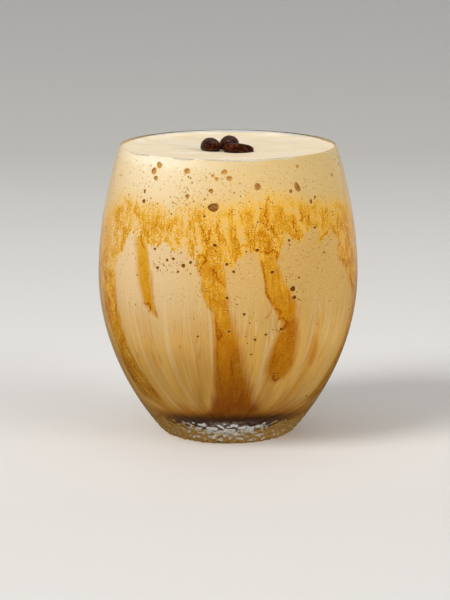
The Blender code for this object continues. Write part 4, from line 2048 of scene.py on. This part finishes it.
@dataclass(frozen=True)
class Board:
    """The floor, a painted board with the faintest mottling. Its colour holds painted light and shade:
    a little darker in front and further back, where less of the lamps' light falls.

    Colours go by how far back a place is in metres. What the glass mirrors of it is a painted
    reflection, not the board's own colour: dark in front and pale behind.
    """

    side: float = 12.0
    start: float = -0.3
    reach: float = 2.0
    # Painted light and shade by how far back a place is: the board is drawn darker where less of the lamps'
    # light falls.
    colours_and_painted_light: Stops = (
        (0.1, "#dcd9d4"), (0.2, "#e9e6e1"), (0.33, "#e1ded9"), (0.49, "#d2cfc9"), (0.92, "#dcdad8"),
    )
    mottles_in_a_metre: float = 9.0
    mottle_detail: float = 3.0
    mottle_sway: float = 0.12
    # Painted reflection: the colours that mirrored rays see of the board, not its own colour.
    painted_reflection_front: str = "#4d3115"
    painted_reflection_back: str = "#d8d3ca"
    painted_reflection_over: Pair = (0.05, 0.6)
    roughness: float = 0.7

    def build(self) -> None:
        """Lays the floor."""
        half = self.side / 2
        corners = np.array([(-half, -half, 0), (half, -half, 0), (half, half, 0), (-half, half, 0)])
        new_piece("studio_floor", corners, [(0, 1, 2, 3)], [self.material()])

    def material(self) -> Material:
        """The board's finish."""
        material, tree = new_material("painted_board")
        spot = add(tree, "ShaderNodeTexCoord").outputs["Object"]
        back = add(tree, "ShaderNodeSeparateXYZ", (spot,)).outputs["Y"]
        mottle = add(
            tree, "ShaderNodeTexNoise",
            {"Vector": spot, "Scale": self.mottles_in_a_metre, "Detail": self.mottle_detail},
        ).outputs["Fac"]
        swayed = add(tree, Kind.SUM, (mottle, self.mottle_sway, back))
        start = self.start + self.mottle_sway / 2
        share = add(tree, Kind.RANGE, (swayed, start, start + self.reach))
        # Painted light and shade: the board's colour falls off in front and further back.
        seen = add(tree, "ShaderNodeValToRGB", (share,), stops=self.colours_and_painted_light)
        # Painted reflection: mirrored rays see a dark board in front and a pale one behind.
        behind = add(tree, Kind.RANGE, (back, *self.painted_reflection_over))
        dark = linear(self.painted_reflection_front)
        mirrored = coated(tree, dark, [(behind, linear(self.painted_reflection_back))])
        look = {
            "Base Color": coated(tree, seen, [(self.mirrored(tree), mirrored)]),
            "Roughness": self.roughness,
        }
        add(tree, "ShaderNodeOutputMaterial", {"Surface": add(tree, "ShaderNodeBsdfPrincipled", look)})
        return material

    def mirrored(self, tree: NodeTree) -> Node:
        """1 for a ray that a surface mirrored, and 0 for one that passed through glass or scattered."""
        rays = add(tree, "ShaderNodeLightPath")
        return add(
            tree, "ShaderNodeMath", (rays.outputs["Is Glossy Ray"], rays.outputs["Is Transmission Ray"]),
            operation="SUBTRACT", use_clamp=True,
        )


@dataclass(frozen=True)
class Room:
    """The room's even light, and the dark screens round it that the glass mirrors.

    The pairs are how far back or up a way points, as a share, where one screen goes over to the next.
    """

    fill: float = 0.385
    fill_through_glass: float = 0.3
    fill_colour: str = "#f4f6fa"
    front: float = 0.04
    front_colour: str = "#8a5a30"
    back: float = 0.56
    back_colour: str = "#f3f0ea"
    overhead: float = 4.5
    behind: Pair = (0.1, 0.8)
    above: Pair = (0.8, 0.92)

    def build(self) -> None:
        """Fills the studio with the light."""
        world = bpy.data.worlds.new("studio")
        world.use_nodes = True
        tree = world.node_tree
        tree.nodes.clear()
        seen, through = self.rays(tree)
        strength, screen_colour = self.screens(tree)
        fill = add(tree, Kind.RANGE, {0: through, 3: self.fill, 4: self.fill_through_glass})
        strength = add(tree, Kind.RANGE, {0: seen, 3: fill, 4: strength})
        colour = coated(tree, linear(self.fill_colour), [(seen, screen_colour)])
        sky = add(tree, "ShaderNodeBackground", {"Color": colour, "Strength": strength})
        add(tree, "ShaderNodeOutputWorld", {"Surface": sky})
        bpy.context.scene.world = world

    def rays(self, tree: NodeTree) -> tuple[Node, NodeSocket]:
        """Adds what kind of ray it is.

        Args:
            tree: the world's nodes.

        Returns:
            1 for one that a surface in plain sight mirrored, and 1 for one that passed through glass.
        """
        rays = add(tree, "ShaderNodeLightPath")
        first = add(tree, Kind.BELOW, (rays.outputs["Diffuse Depth"], 0.5))
        seen = add(tree, Kind.TIMES, (first, rays.outputs["Is Glossy Ray"]))
        return seen, rays.outputs["Is Transmission Ray"]

    def screens(self, tree: NodeTree) -> tuple[Node, Node]:
        """Adds the screens.

        Args:
            tree: the world's nodes.

        Returns:
            Their strength and their colour.
        """
        way = add(tree, "ShaderNodeTexCoord").outputs["Generated"]
        axes = add(tree, "ShaderNodeSeparateXYZ", (way,))
        behind, above = (
            add(tree, Kind.RANGE, (axes.outputs[axis], *ends))
            for axis, ends in (("Y", self.behind), ("Z", self.above))
        )
        strength = add(tree, Kind.RANGE, {0: behind, 3: self.front, 4: self.back})
        strength = add(tree, Kind.RANGE, {0: above, 3: strength, 4: self.overhead})
        pale = add(tree, Kind.LARGER, (behind, above))
        return strength, coated(tree, linear(self.front_colour), [(pale, linear(self.back_colour))])


@dataclass(frozen=True)
class Studio:
    """The pale floor, the soft lamps and the camera.

    The front lamp hangs low at the left, and lights the foot and the lower wall.
    """

    board: Board = Board()
    lamps: tuple[Lamp, ...] = (
        Lamp("key_lamp", (-1.02, -0.78, 1.3), 0.8, 21.6),
        Lamp("front_lamp", (-1.05, -0.9, 0.15), 0.3, 5.2),
        Lamp("side_lamp", (1.23, -0.77, 0.42), 1.0, 17.5),
    )
    aim: Spot = (0.0, 0.0, 0.05)
    room: Room = Room()
    camera_spot: Spot = (-0.00104, -0.95, 0.23327)
    camera_tilt: float = 0.1951
    lens: float = 170.496
    sensor_height: float = 36.0

    def build(self) -> None:
        """Sets up the whole studio."""
        self.board.build()
        for lamp in self.lamps:
            lamp.hang(self.aim)
        self.room.build()
        self.camera()

    def camera(self) -> None:
        """Stands the camera about a metre away, so high that it looks down on the rim a little."""
        data = bpy.data.cameras.new("camera")
        data.sensor_fit = "VERTICAL"
        data.sensor_height = self.sensor_height
        data.lens = self.lens
        holder = bpy.data.objects.new("camera", data)
        holder.location = self.camera_spot
        holder.rotation_euler = (math.pi / 2 - self.camera_tilt, 0, 0)
        bpy.context.collection.objects.link(holder)
        scene = bpy.context.scene
        scene.camera = holder
        scene.view_settings.view_transform = "Standard"


def main() -> None:
    """Builds the studio and every piece of the glass of frappe."""
    logging.basicConfig(level=logging.INFO, format="%(name)s %(message)s")
    Studio().build()
    glass = Tumbler()
    glass.build(PressedGlass().material())
    drink = Drink(glass)
    drink.build(MarbledMilk(), FoamTop(), Froth(), BubbleFilm().material())
    roast = RoastedBean().material()
    for bean in BEANS:
        bean.build(drink.level, roast)


if __name__ == "__main__":
    main()
